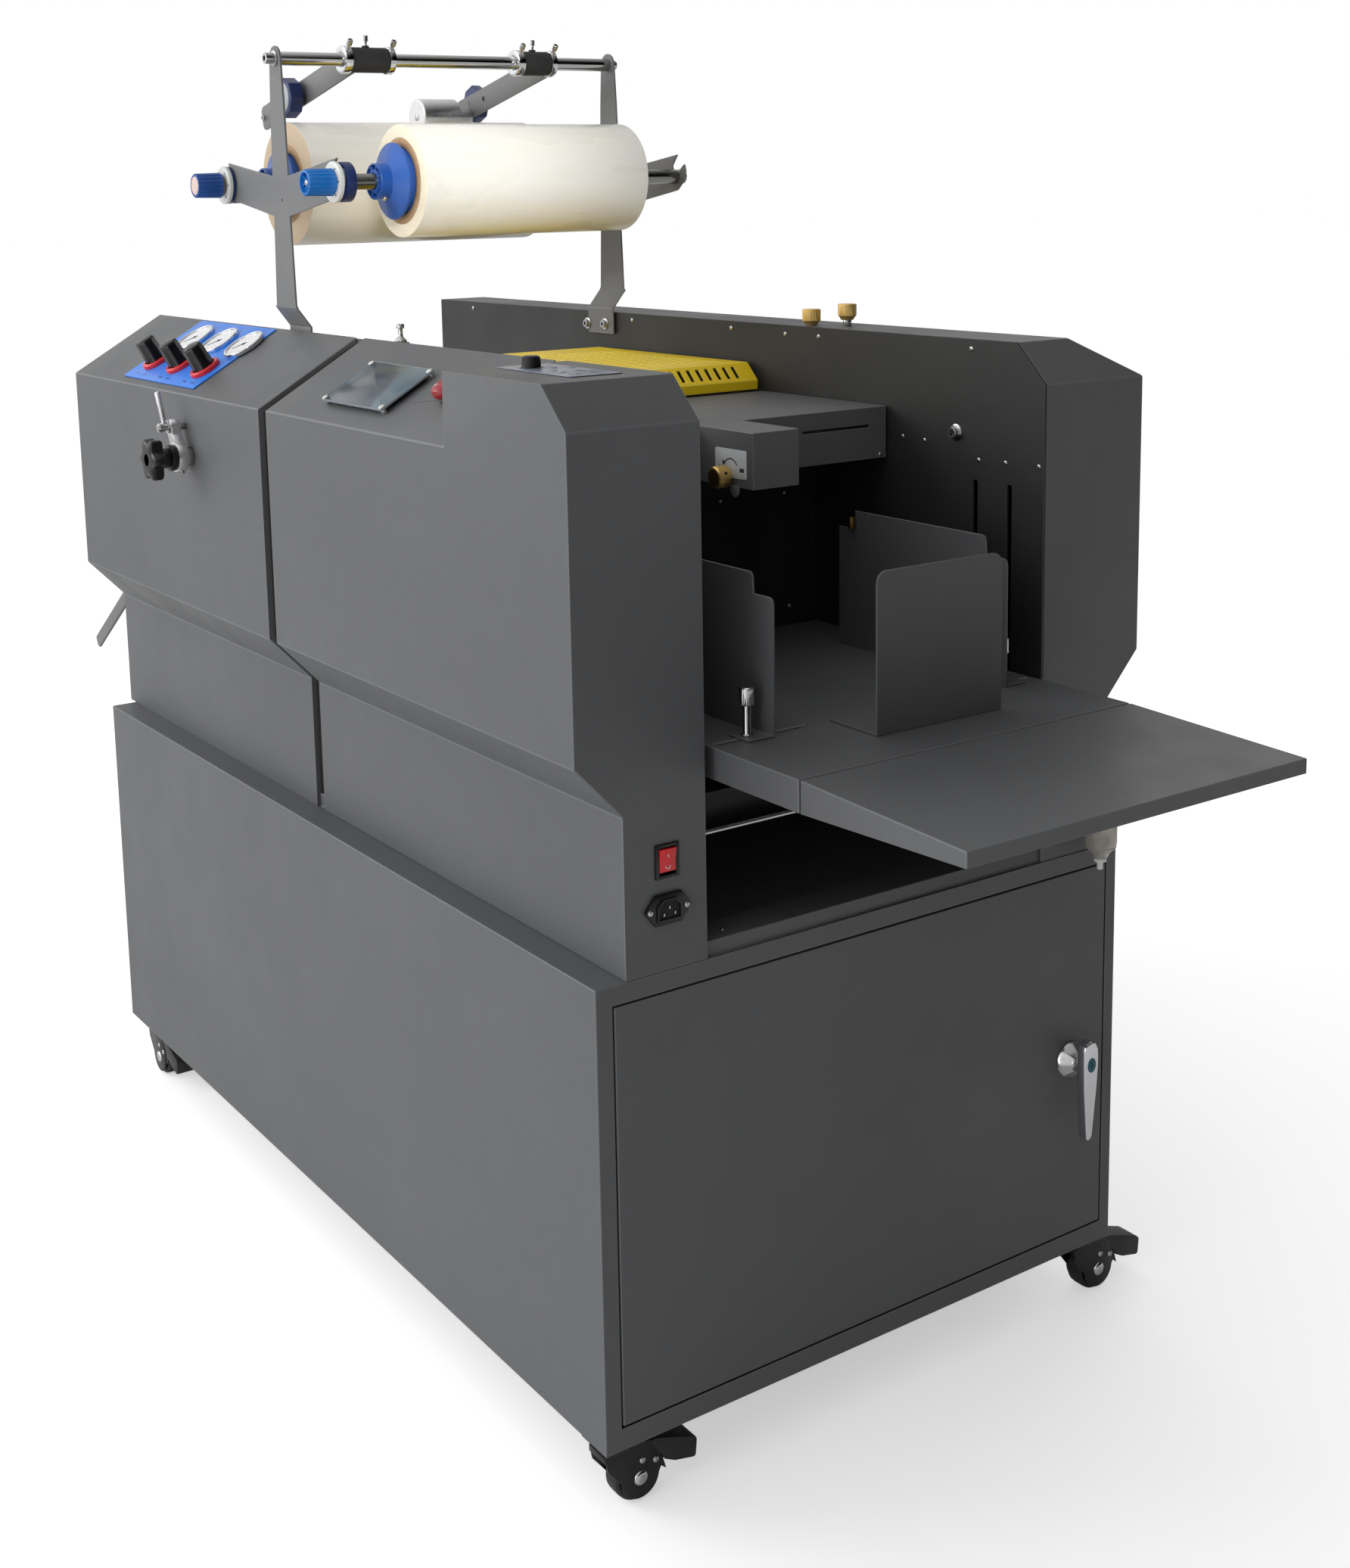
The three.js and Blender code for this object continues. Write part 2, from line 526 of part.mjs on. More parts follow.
function keypadAndSpeed() {
  const z = TOWER.top + GAP;
  const { x, y } = SPEED_KNOB;
  const opening = disc("z", z - 1, z + 2, 4, [x, y, 0], 12);
  add("keypad", cut(prismAlongZ(roundedRect(1040, 1170, 32, 88, 3), z, z + 0.8), opening), CLEAR);
  add("speed_knob", turned([[-8, 3.7], [1 + GAP, 3.7], [1 + GAP, 9], [11, 8.3], [12, 7.5]], "z",
    [x, y, z], 20), BLACK);
}

function powerEntry() {
  const face = TOWER.x1 + GAP;
  const pivotZ = (ROCKER.z0 + ROCKER.z1) / 2;
  const rocker = box(-3, 5.5, ROCKER.y0 + 1, ROCKER.y1 - 1, -13, 13)
    .rotate([0, ROCKER.tilt, 0])
    .translate([TOWER.x1 - 2, 0, pivotZ]);
  add("rocker_switch", rocker, RED);
  const flange = [[53, 580.5], [64, 566], [93, 566], [104, 580.5], [93, 595], [64, 595]];
  const well = prismAlongX([[68, 573], [89, 573], [89, 583], [84, 588], [73, 588], [68, 583]], face + 1, face + 9);
  add("mains_inlet", cut(prismAlongX(flange, face, face + 3.5), well), BLACK);
}

const LINK = { x: 388, z: 913, pivotX: 374, pivotZ: 948, y0: -36.5, y1: -24 };

function clampLink() {
  const { y0, y1 } = LINK;
  const web = plateAlongY([
    [LINK.x - 15, LINK.z + 8], [LINK.x + 12, LINK.z + 12],
    [LINK.pivotX + 8, LINK.pivotZ], [LINK.pivotX - 8, LINK.pivotZ],
  ], y0, y1);
  const rings = join(
    disc("y", y0, y1, 17.5, [LINK.x, 0, LINK.z], 20),
    disc("y", y0, y1, 9.5, [LINK.pivotX, 0, LINK.pivotZ], 14),
    disc("y", y0 - 13.5, FRONT_FACE - GAP, 4.5, [LINK.pivotX, 0, LINK.pivotZ], 12),
    web,
  );
  const pin = disc("z", 0, 46, 2.6, [0, 0, 0], 8)
    .rotate([0, -46, 0])
    .translate([LINK.pivotX, y0 - 4, LINK.pivotZ]);
  const bore = disc("y", y0 - 9, y1 + 9, 12.4, [LINK.x, 0, LINK.z]);
  add("clamp_link", cut(join(rings, pin), bore), CHROME);
}

function starKnob() {
  const front = FRONT_FACE - 55;
  const lobes = [];
  for (let i = 0; i < 6; i += 1) {
    const angle = (Math.PI / 3) * i;
    lobes.push(disc("y", front, front + 16, 8,
      [LINK.x + 19 * Math.cos(angle), 0, LINK.z + 19 * Math.sin(angle)], 9));
  }
  const hub = turned([
    [front, 20], [front + 16, 20], [front + 17, 12], [front + 27, 12], [front + 27, 16],
    [LINK.y0 - GAP, 16], [LINK.y0 - GAP, 12], [FRONT_FACE - GAP, 12],
  ], "y", [LINK.x, 0, LINK.z], 18);
  add("star_knob", join(hub, ...lobes), BLACK);
}

function tailLever() {
  const { x, z, drop, width, y } = TAIL_LEVER;
  const slope = THREE.MathUtils.degToRad(drop);
  const length = 230;
  const bar = plateAlongY([
    [0, width / 2], [0, -width / 2], [-length + 4, -width / 2],
    [-length, -width / 2 + 5], [-length + 1, width / 2 - 2], [-length + 4, width / 2],
  ], y, y + 4).rotate([0, -drop, 0]);
  const placed = bar.translate([x, 0, z]);
  const shaft = disc("y", y, FRONT_OPEN - GAP, 9, [x, 0, z], 20);
  const heel = 9 * Math.cos(slope);
  add("tail_lever", join(placed, shaft, disc("y", y, y + 6, heel, [x, 0, z], 20)), RACK_GREY);
}

const LATCH_KNOBS = [{ x: 850, y: 563, neck: 0.5 }, { x: 890, y: 583, neck: 7 }];

function latchKnobs() {
  LATCH_KNOBS.forEach(({ x, y, neck }, i) => {
    const z = BODY_TOP + GAP;
    const knob = turned([
      [z - 8, 3.6], [z, 3.6], [z, 5], [z + neck, 5], [z + neck, 7.5], [z + neck + 4.5, 10.7],
      [z + neck + 17.5, 10.7], [z + neck + 18, 10],
    ], "z", [x, y, 0], 16);
    add(`latch_knob_${i + 1}`, knob, BRASS);
  });
}

function filterBowl() {
  const face = REAR.x1 + GAP;
  const head = box(face, face + 52, 588, 634, 596, 634);
  const bowl = turned([
    [509, 3.5], [517, 3.5], [519, 7], [527, 9], [534, 17], [597, 17],
  ], "z", [face + 26, 611, 0], 20);
  add("filter_bowl", join(head, bowl), CLEAR);
}

// ---------------------------------------------------------------- film rack
// The edge of one arm from the head to the leg, round the open slot that takes the film shaft.
const armPlate = (side) => [
  [18, 96], [21.5, 9], [154, 27], [143, 13.5],
  ...arc(RACK.shaftSpan, 0, RACK.slot, 180, 360, 8),
  [159.5, 8], [168.6, 15], [171, 7], [169.6, -3.5], [153.4, -17], [22, -38],
].map(([across, up]) => [RACK.x + side * across, RACK.shaftZ + up]);

// One cut plate: rounded head, two arms and a leg that cranks over to a bolted foot.
function rackPlate(name, y, footY) {
  const { x, z, shaftZ, thick } = RACK;
  const crank = { high: 1087, low: 1064, foot: 1030 };
  const outline = [
    [x - 27, crank.high], ...armPlate(-1).reverse(), ...arc(x, z, 14.5, 180, 0, 8),
    ...armPlate(1), [x + 27, crank.high],
  ];
  const y0 = y - thick / 2;
  const upper = plateAlongY(outline, y0, y0 + thick);
  const footY0 = footY - thick / 2;
  const reach = prismAlongX([
    [y0, crank.high - 1], [y0, crank.high + 1], [y0 + thick, crank.high + 1],
    [y0 + thick, crank.high - 1], [footY0 + thick, crank.low - 1], [footY0 + thick, crank.foot],
    [footY0, crank.foot], [footY0, crank.low - 1],
  ], x - 29, x + 29);
  const openings = [
    disc("y", y0 - 5, y0 + thick + 5, 4.6, [x, 0, z], 16),
    disc("y", y0 - 5, y0 + thick + 5, 1.8, [x + 4, 0, shaftZ - 19], 10),
  ];
  add(name, cut(join(upper, reach), ...openings), RACK_GREY);
}

function rackBar() {
  const { x, z, frontY, rearY, thick } = RACK;
  const front = frontY - thick / 2;
  const rear = rearY + thick / 2;
  const bar = turned([
    [front - 12, 6], [front - 2, 6], [front - 2, 9.5], [front - GAP, 9.5], [front - GAP, 4.2],
    [front + thick + GAP, 4.2], [front + thick + GAP, BAR_RADIUS],
    [rear - thick - GAP, BAR_RADIUS], [rear - thick - GAP, 4.2], [rear + GAP, 4.2],
    [rear + GAP, 9], [rear + 4, 9], [rear + 4, 6], [rear + 10, 6],
  ], "y", [x, 0, z], 16);
  add("rack_bar", bar, CHROME);
}

const ARMS = {
  front: { plateY: 195, collar: [181, 248], drop: 12.6, end: 276, wheel: { x: 284, z: 1339, y: [171.5, 190] } },
  rear: { plateY: 470, collar: [420, 477], drop: 12.6, end: 242, wheel: { x: 230, z: 1336, y: [473.5, 488] } },
};
const WEIGHT = { x: 228, z: 1318, y0: 387, y1: 446, radius: 24 };

// The clamp's cap screws: the middle one upright, the outer two leaning to the feeder side.
function collarScrew(y, lean) {
  return disc("z", 13, 29, 3.4, [0, 0, 0], 8).rotate([0, lean, 0]).translate([RACK.x, y, RACK.z]);
}

function trimArm(name) {
  const arm = ARMS[name];
  const [y0, y1] = arm.collar;
  const collar = turned([
    [y0, 16.5], [y0 + 10, 16.5], [y0 + 10, 15], [y1 - 8, 15], [y1 - 8, 16.5], [y1, 16.5],
  ], "y", [RACK.x, 0, RACK.z], 20);
  const strap = plateAlongY([
    [0, 15.5], [0, -15.5], [-arm.end + 8, -15.5], [-arm.end, -6], [-arm.end, 6], [-arm.end + 8, 15.5],
  ], arm.plateY, arm.plateY + 3).rotate([0, -arm.drop, 0]).translate([RACK.x, 0, RACK.z]);
  const screws = [collarScrew(y0 + 5, 40), collarScrew((y0 + y1) / 2, 0), collarScrew(y1 - 4, 40)];
  const bore = disc("y", y0 - 9, y1 + 9, BAR_RADIUS + GAP, [RACK.x, 0, RACK.z], 16);
  const { x, z, y } = arm.wheel;
  const pinHole = disc("y", arm.plateY - 5, arm.plateY + 9, 4.5, [x, 0, z], 10);
  add(`trim_arm_${name}`, cut(join(collar, strap, ...screws), bore, pinHole), RACK_GREY);
  const behind = y[0] > arm.plateY;
  const rim = [[y[0], 23.5], [y[0] + 2, 25], [y[1] - 2, 25], [y[1], 23.5]];
  const rows = behind
    ? [[arm.plateY - 2, 4], [y[0], 4], ...rim]
    : [...rim, [y[1], 4], [arm.plateY + 5, 4]];
  add(`trim_wheel_${name}`, turned(rows, "y", [x, 0, z], 16), BLUE);
}

function weightRoller() {
  const { x, z, y0, y1, radius } = WEIGHT;
  const rows = [[y0, radius - 2], [y0 + 2, radius], [y1, radius], [y1 + 8, 12], [ARMS.rear.plateY - GAP, 12]];
  add("weight_roller", turned(rows, "y", [x, 0, z], 24), CHROME);
}

// Shaft with its two expanding chucks and the discs that grip the rack plate.
function filmSpindle(name) {
  const { x, start, width, knobShift, discDepth } = ROLLS[name];
  const end = start + width;
  const front = RACK.frontY - RACK.thick / 2;
  const rear = RACK.rearY;
  const spindle = turned([
    [front - 31 + knobShift, 6], [front - discDepth, 6], [front - discDepth, 23], [front - GAP, 23],
    [front - GAP, 6.5],
    [front + RACK.thick + GAP, 6.5], [front + RACK.thick + GAP, 23], [front + 16, 23], [front + 16, SHAFT_RADIUS],
    [start - 34, SHAFT_RADIUS], [start - 34, 20.5], [start - 20, 20.5], [start - 11, 43.5],
    [start - 8, 43.5], [start - 8, 37.5], [start + 16, 37.5], [start + 16, SHAFT_RADIUS],
    [end - 16, SHAFT_RADIUS], [end - 16, 37.5], [end + 2, 37.5], [end + 2, SHAFT_RADIUS],
    [rear - 3, SHAFT_RADIUS], [rear - 3, 6.5], [rear + 3, 6.5],
    [rear + 3, SHAFT_RADIUS], [rear + 9, SHAFT_RADIUS],
  ], "y", [x, 0, RACK.shaftZ], 18);
  add(`film_spindle_${name}`, spindle, STEEL);
  const knobEnd = front - 12 + knobShift;
  const knob = turned([
    [knobEnd - 34, 14], [knobEnd - 33, 15.5], [knobEnd - 1, 15.5], [knobEnd, 14],
  ], "y", [x, 0, RACK.shaftZ], 18);
  const knobBore = disc("y", knobEnd - 20, knobEnd + 9, 6.3, [x, 0, RACK.shaftZ], 14);
  add(`film_knob_${name}`, cut(knob, knobBore), BLUE);
}

function filmRoll(name) {
  const { x, start, width, radius } = ROLLS[name];
  const roll = disc("y", start, start + width, radius, [x, 0, RACK.shaftZ], 36);
  const bore = disc("y", start - 5, start + width + 5, CORE_BORE, [x, 0, RACK.shaftZ], 18);
  add(`film_roll_${name}`, cut(roll, bore), FILM);
}

// ---------------------------------------------------------------- nip rollers and drive
const NIP = { x: 560, y0: 113, y1: 546, radius: 36, z: 929 };

function nipRollers() {
  const { y0, y1, radius } = NIP;
  const rows = [[y0, 10], [y0 + 20, 10], [y0 + 20, radius], [y1 - 20, radius], [y1 - 20, 10], [y1, 10]];
  add("laminating_roller", turned(rows, "y", [NIP.x, 0, NIP.z + radius + GAP], 24), STEEL);
  add("pressure_roller", turned(rows, "y", [NIP.x, 0, NIP.z - radius - GAP], 24), RUBBER);
}

function driveMotor() {
  const z0 = CABINET.z1 + GAP;
  const can = disc("y", 260, 400, 48, [400, 0, z0 + 62], 24);
  const gearbox = box(355, 445, 399, 455, z0 + 14, z0 + 110);
  const shaft = disc("y", 454, 490, 9, [400, 0, z0 + 75], 14);
  add("drive_motor", join(can, gearbox, shaft, box(350, 450, 270, 450, z0, z0 + 16)), STEEL);
}

// ---------------------------------------------------------------- assembly
baseCabinet();
cabinetDoor();
doorLever();
caster("feeder_near", 1212, 24, 90);
caster("feeder_far", 1212, 639, 90);
caster("tail_near", 50, 26, 0);
caster("tail_far", 50, 637, 90);
operatorFrame();
rearFrame();
tailCover();
operatorCover();
rearCover();
feederWall();
filmGuard();
feedHead();
headKnob();
feedBench();
extensionTable();
paperGuide("near");
paperGuide("far");
frontStop();
const slope = slopeGroup();
regulatorPanel(slope);
touchScreen(slope);
stopButton(slope);
keypadAndSpeed();
powerEntry();
clampLink();
starKnob();
tailLever();
latchKnobs();
filterBowl();
rackPlate("rack_plate_front", RACK.frontY, 114);
rackPlate("rack_plate_rear", RACK.rearY, 545.4 - RACK.thick / 2);
rackBar();
trimArm("front");
trimArm("rear");
weightRoller();
filmSpindle("front");
filmSpindle("rear");
filmRoll("front");
filmRoll("rear");
nipRollers();
driveMotor();

// Origin at the centre of the footprint, on the floor.
const extent = new THREE.Box3().setFromObject(laminator);
laminator.position.set(-(extent.min.x + extent.max.x) / 2, -(extent.min.y + extent.max.y) / 2, -extent.min.z);

export default laminator;
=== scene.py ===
"""Looks of the cold roll laminator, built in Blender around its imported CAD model.

Places are in millimetres from the cabinet's tail corner on the operator's side, at floor level:
x runs to the feeder, y away from the operator and z up. at() and facing() turn them into the frame.
"""
import json
import math

import bmesh
import bpy
from mathutils import Matrix, Vector

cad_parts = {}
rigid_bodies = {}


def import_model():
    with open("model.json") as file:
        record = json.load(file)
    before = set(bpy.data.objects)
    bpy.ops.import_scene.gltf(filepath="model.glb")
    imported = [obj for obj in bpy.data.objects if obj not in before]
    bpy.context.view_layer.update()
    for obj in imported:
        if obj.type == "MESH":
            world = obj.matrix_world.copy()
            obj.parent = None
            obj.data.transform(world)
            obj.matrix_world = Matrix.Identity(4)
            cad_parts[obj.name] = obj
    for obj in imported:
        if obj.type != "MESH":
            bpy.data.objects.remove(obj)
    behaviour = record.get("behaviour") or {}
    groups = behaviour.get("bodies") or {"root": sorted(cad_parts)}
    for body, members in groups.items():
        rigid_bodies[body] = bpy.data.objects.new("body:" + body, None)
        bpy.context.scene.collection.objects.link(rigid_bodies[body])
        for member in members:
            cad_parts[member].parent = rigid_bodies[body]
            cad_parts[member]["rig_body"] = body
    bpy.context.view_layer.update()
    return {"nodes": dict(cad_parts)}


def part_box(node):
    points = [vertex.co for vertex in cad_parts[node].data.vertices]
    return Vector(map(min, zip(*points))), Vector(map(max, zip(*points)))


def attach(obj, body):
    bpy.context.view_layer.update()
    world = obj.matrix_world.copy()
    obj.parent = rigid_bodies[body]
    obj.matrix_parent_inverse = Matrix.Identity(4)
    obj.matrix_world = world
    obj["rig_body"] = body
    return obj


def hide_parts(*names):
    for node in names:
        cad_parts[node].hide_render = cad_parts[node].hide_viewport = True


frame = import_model()
NODES = frame["nodes"]
MM = 0.001
SHARP = math.radians(27)
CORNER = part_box("base_cabinet")[0]

# Places that several pieces share.
GAP = 0.3  # air the CAD leaves between neighbouring parts
REAR_INNER = 548.25  # inner face of the rear frame
FEEDER_FACE = 1236.0  # feeder end of the cabinet and the covers
BODY_TOP = 1058.5
TOWER_TOP = 1056.8
SLOPE_FOOT = (-16.0, 986.0)
SLOPE_HEAD = (108.0, 1058.5)
BENCH_TOP = 718.0
RACK = {"x": 434.0, "z": 1377.0, "shaft_z": 1232.0, "span": 152.0, "front": 95.5, "rear": 563.0}
# The knob's back and the white disc stand off the front plate by 12 - shift and disc.
ROLLS = {
    "front": {"x": RACK["x"] + RACK["span"], "start": 176.0, "width": 300.0, "radius": 64.0, "shift": 7.0,
              "disc": 5.0},
    "rear": {"x": RACK["x"] - RACK["span"], "start": 174.0, "width": 344.0, "radius": 77.0, "shift": 0.0,
             "disc": 9.0},
}


# ---- places
def at(x, y, z):
    return Vector((CORNER[0] + x * MM, CORNER[1] + y * MM, z * MM))


FACES = {
    "+x": ((0, 1, 0), (0, 0, 1), (1, 0, 0)),
    "+y": ((-1, 0, 0), (0, 0, 1), (0, 1, 0)),
    "-y": ((1, 0, 0), (0, 0, 1), (0, -1, 0)),
    "+z": ((1, 0, 0), (0, 1, 0), (0, 0, 1)),
}


def facing(face, x=0.0, y=0.0, z=0.0):
    """A local frame in mm at a place, with its z axis along the named direction."""
    turn = Matrix([Vector(axis) for axis in FACES[face]]).transposed().to_4x4()
    return Matrix.Translation(at(x, y, z)) @ turn @ Matrix.Scale(MM, 4)


def spun(axis, degrees):
    return Matrix.Rotation(math.radians(degrees), 4, axis)


def moved(x, y, z):
    return Matrix.Translation((x, y, z))


SLOPE_ANGLE = math.atan2(SLOPE_HEAD[1] - SLOPE_FOOT[1], SLOPE_HEAD[0] - SLOPE_FOOT[0])


def on_slope(x, up, height=0.0):
    """A local frame on the sloped control face: x along the machine, y up the slope, z off it."""
    foot = facing("+z", 0, SLOPE_FOOT[0], SLOPE_FOOT[1])
    return foot @ Matrix.Rotation(SLOPE_ANGLE, 4, "X") @ moved(x, up, height)


def linked(name, data):
    """A new object for some data, in the scene."""
    thing = bpy.data.objects.new(name, data)
    bpy.context.scene.collection.objects.link(thing)
    return thing


# ---- materials
def preset(node, **values):
    """Sets a node's inputs, with underscores for the spaces in their names."""
    for name, value in values.items():
        node.inputs[name.replace("_", " ")].default_value = value
    return node


class Look:
    """A Principled material whose colour, gloss and relief come from noise in object space."""

    def __init__(self, name, colour, rough, metallic=0.0):
        self.mat = bpy.data.materials.new(name)
        self.mat.use_nodes = True
        self.nodes = self.mat.node_tree.nodes
        self.links = self.mat.node_tree.links
        self.shader = preset(self.nodes["Principled BSDF"], Base_Color=(*colour, 1), Roughness=rough,
                             Metallic=metallic)
        self.coords = self.nodes.new("ShaderNodeTexCoord").outputs["Object"]

    def set(self, **values):
        preset(self.shader, **values)
        return self

    def noise(self, scale, detail=3.0, stretch=(1, 1, 1)):
        mapping = preset(self.nodes.new("ShaderNodeMapping"), Scale=stretch)
        self.links.new(self.coords, mapping.inputs["Vector"])
        texture = preset(self.nodes.new("ShaderNodeTexNoise"), Scale=scale, Detail=detail, Roughness=0.55)
        self.links.new(mapping.outputs["Vector"], texture.inputs["Vector"])
        return texture.outputs["Fac"]

    def spread(self, source, low, high, start=0.3, end=0.7):
        """Maps a value from start..end to low..high."""
        ramp = preset(self.nodes.new("ShaderNodeMapRange"), From_Min=start, From_Max=end, To_Min=low,
                      To_Max=high)
        self.links.new(source, ramp.inputs["Value"])
        return ramp.outputs["Result"]

    def mottle(self, scale, other, amount, stretch=(1, 1, 1), start=0.35, end=0.65, detail=3.0):
        """Blends towards another colour where the noise is high."""
        mix = self.nodes.new("ShaderNodeMix")
        mix.data_type = "RGBA"
        factor = self.spread(self.noise(scale, detail, stretch), 0.0, amount, start, end)
        self.links.new(factor, mix.inputs["Factor"])
        base = self.shader.inputs["Base Color"]
        if base.is_linked:
            self.links.new(base.links[0].from_socket, mix.inputs["A"])
        else:
            mix.inputs["A"].default_value = base.default_value
        mix.inputs["B"].default_value = (*other, 1)
        self.links.new(mix.outputs["Result"], base)
        return self

    def gloss(self, scale, low, high, stretch=(1, 1, 1)):
        """Lets the roughness wander between two values."""
        source = self.spread(self.noise(scale, 2.0, stretch), low, high)
        self.links.new(source, self.shader.inputs["Roughness"])
        return self

    def relief(self, scale, depth, strength=1.0, stretch=(1, 1, 1)):
        """Fine bump, its depth in mm."""
        bump = preset(self.nodes.new("ShaderNodeBump"), Distance=depth * MM, Strength=strength)
        self.links.new(self.noise(scale, 2.0, stretch), bump.inputs["Height"])
        normal = self.shader.inputs["Normal"]
        if normal.is_linked:
            self.links.new(normal.links[0].from_socket, bump.inputs["Normal"])
        self.links.new(bump.outputs["Normal"], normal)
        return self


def lighter(colour, factor):
    return tuple(min(1.0, value * factor) for value in colour)


def powder(name, colour, rough=0.5, grain=0.16):
    """Fine-textured powder coat: specks, slow shade changes and an orange-peel skin."""
    look = Look(name, colour, rough)
    look.mottle(2.2, lighter(colour, 1.18), 0.7, detail=2.0)
    look.mottle(1500, lighter(colour, 1.7), 0.35, start=0.55, end=0.75)
    look.mottle(1100, lighter(colour, 0.6), 0.4, start=0.55, end=0.75)
    look.gloss(9, rough - 0.05, rough + 0.08)
    look.relief(620, grain).relief(60, grain * 0.6, 0.5)
    return look.mat


def moulded(name, colour, rough=0.4, coat=0.0):
    """Moulded plastic with a faint skin and slight gloss changes."""
    look = Look(name, colour, rough)
    look.mottle(14, lighter(colour, 1.25), 0.4)
    look.gloss(40, rough - 0.06, rough + 0.08)
    look.relief(900, 0.04)
    return look.set(Coat_Weight=coat, Coat_Roughness=0.12).mat


def steel(name, colour, rough, stretch=(1, 1, 1), scratch=0.0):
    """Bare metal; drawn bars also carry fine marks round them."""
    look = Look(name, colour, rough, 1.0)
    look.mottle(6, lighter(colour, 0.85), 0.4, detail=1.0)
    look.gloss(60, max(0.03, rough - 0.03), rough + 0.05, stretch)
    if scratch:
        look.relief(500, scratch, stretch=stretch)
    return look.mat


CHARCOAL = (0.108, 0.111, 0.115)
RACK_PAINT = (0.15, 0.152, 0.155)
paint = powder("charcoal_powder", CHARCOAL)
# Lighter copies of each powder for the rolled edges that softened() makes: painted highlight.
paint_edge_highlight = powder("charcoal_powder_painted_highlight", lighter(CHARCOAL, 1.4), 0.45, 0.08)
# Near-black powder, darker than the charcoal covers: partly dark paint, partly painted shade on the shaded
# rear frame and feeder wall.
dark_paint_and_shade = powder("black_powder_and_painted_shade", (0.022, 0.022, 0.0215), 0.5)
dark_edge_highlight = powder("black_powder_painted_highlight", (0.035, 0.035, 0.036), 0.45, 0.06)
rack_paint = powder("rack_powder", RACK_PAINT, 0.45)
rack_edge_highlight = powder("rack_powder_painted_highlight", lighter(RACK_PAINT, 1.4), 0.42, 0.06)
yellow_paint = powder("yellow_powder", (0.95, 0.64, 0.010), 0.42, 0.08)
yellow_edge_highlight = powder("yellow_powder_painted_highlight", (0.95, 0.74, 0.06), 0.4, 0.04)
blue_sheet = moulded("blue_panel_sheet", (0.025, 0.21, 0.80), 0.38)
blue_bright = moulded("blue_chuck_plastic", (0.012, 0.085, 0.36), 0.34)
blue_light = moulded("blue_knob_light", (0.006, 0.15, 0.50), 0.36)
blue_dark = moulded("blue_disc_dark", (0.010, 0.026, 0.11), 0.36)
white_plastic = moulded("white_plastic", (0.72, 0.72, 0.68), 0.35)
cap_pink = moulded("pink_white_cap", (0.72, 0.55, 0.50), 0.4)
black_plastic = moulded("black_plastic", (0.004, 0.004, 0.0045), 0.27)
red_plastic = moulded("red_plastic", (0.30, 0.004, 0.010), 0.28, 0.15)
bright_red = moulded("bright_red_plastic", (0.75, 0.015, 0.02), 0.35, 0.2)
rubber = moulded("black_rubber", (0.028, 0.028, 0.029), 0.75)
tread = moulded("tread_rubber", (0.012, 0.012, 0.013), 0.42)
chrome = steel("chrome", (0.80, 0.80, 0.82), 0.12)
casting = steel("bright_casting", (0.82, 0.82, 0.83), 0.27)
screw_steel = steel("screw_steel", (0.62, 0.62, 0.62), 0.22)
shaft_steel = steel("shaft_steel", (0.28, 0.275, 0.265), 0.22, (1, 14, 1), 0.006)
bar_steel = steel("bar_steel", (0.60, 0.60, 0.59), 0.14, (1, 20, 1), 0.006)
roller_steel = steel("roller_steel", (0.5, 0.5, 0.5), 0.3, (1, 20, 1))
brass = steel("brass", (0.90, 0.62, 0.22), 0.34)
brass_dark = steel("brass_dark", (0.28, 0.17, 0.06), 0.35)
# Near-black for the bottoms of holes, sockets and slots: painted shade in recesses.
recess_shade = moulded("painted_recess_shade", (0.006, 0.006, 0.006), 0.7)
cardboard = moulded("cardboard_core", (0.42, 0.27, 0.14), 0.8)
dial_white = moulded("dial_white", (0.78, 0.79, 0.80), 0.2, 0.6)
label_grey = moulded("label_plate", (0.62, 0.64, 0.66), 0.3, 0.3)
print_dark = moulded("printed_marks", (0.03, 0.035, 0.05), 0.4)
print_blue = moulded("key_marks", (0.02, 0.04, 0.14), 0.3, 0.2)


def film_material(name, colour, warm):
    """Clear film wound thick: cream, glossy, with fine wrinkles round the roll."""
    look = Look(name, colour, 0.3)
    look.mottle(5, warm, 0.6, (1, 0.6, 1))
    look.mottle(60, lighter(colour, 1.1), 0.3, (1, 0.15, 1))
    look.gloss(18, 0.18, 0.42, (1, 0.4, 1))
    look.relief(26, 0.5, 0.35, (1, 0.3, 1)).relief(150, 0.12, 0.3, (1, 0.35, 1))
    return look.set(Coat_Weight=0.35, Coat_Roughness=0.15).mat


def wound_end(name, colour, dark):
    """The cut end of a wound roll, with its layers as rings about the shaft."""
    look = Look(name, colour, 0.5)
    look.mottle(320, dark, 0.35, (1, 0.02, 1))
    return look.mat


film = film_material("film", (0.95, 0.93, 0.87), (0.93, 0.87, 0.72))
film_end = wound_end("film_end", (0.90, 0.83, 0.64), (0.74, 0.62, 0.42))
film_end_brown = wound_end("film_end_brown", (0.60, 0.46, 0.30), (0.44, 0.31, 0.19))


def clear_plastic(name, colour, rough, transmission):
    look = Look(name, colour, rough)
    look.gloss(30, rough, rough + 0.06)
    look.relief(50, 0.05, 0.4)
    return look.set(Transmission_Weight=transmission, IOR=1.45).mat


clear_bowl = clear_plastic("clear_bowl", (0.80, 0.76, 0.70), 0.12, 0.75)
keypad_film = moulded("keypad_film", (0.21, 0.235, 0.32), 0.3, 0.2)


def painted_reflection_display_material():
    # Blue-grey slate with near-black patches across it: painted reflection of the room on the screen's cover
    # sheet.
    look = Look("display_painted_reflection", (0.10, 0.155, 0.185), 0.2)
    look.mottle(11, (0.02, 0.035, 0.055), 0.9, (1, 1, 0.3), 0.46, 0.56, 1.0)
    look.gloss(6, 0.16, 0.24)
    return look.mat


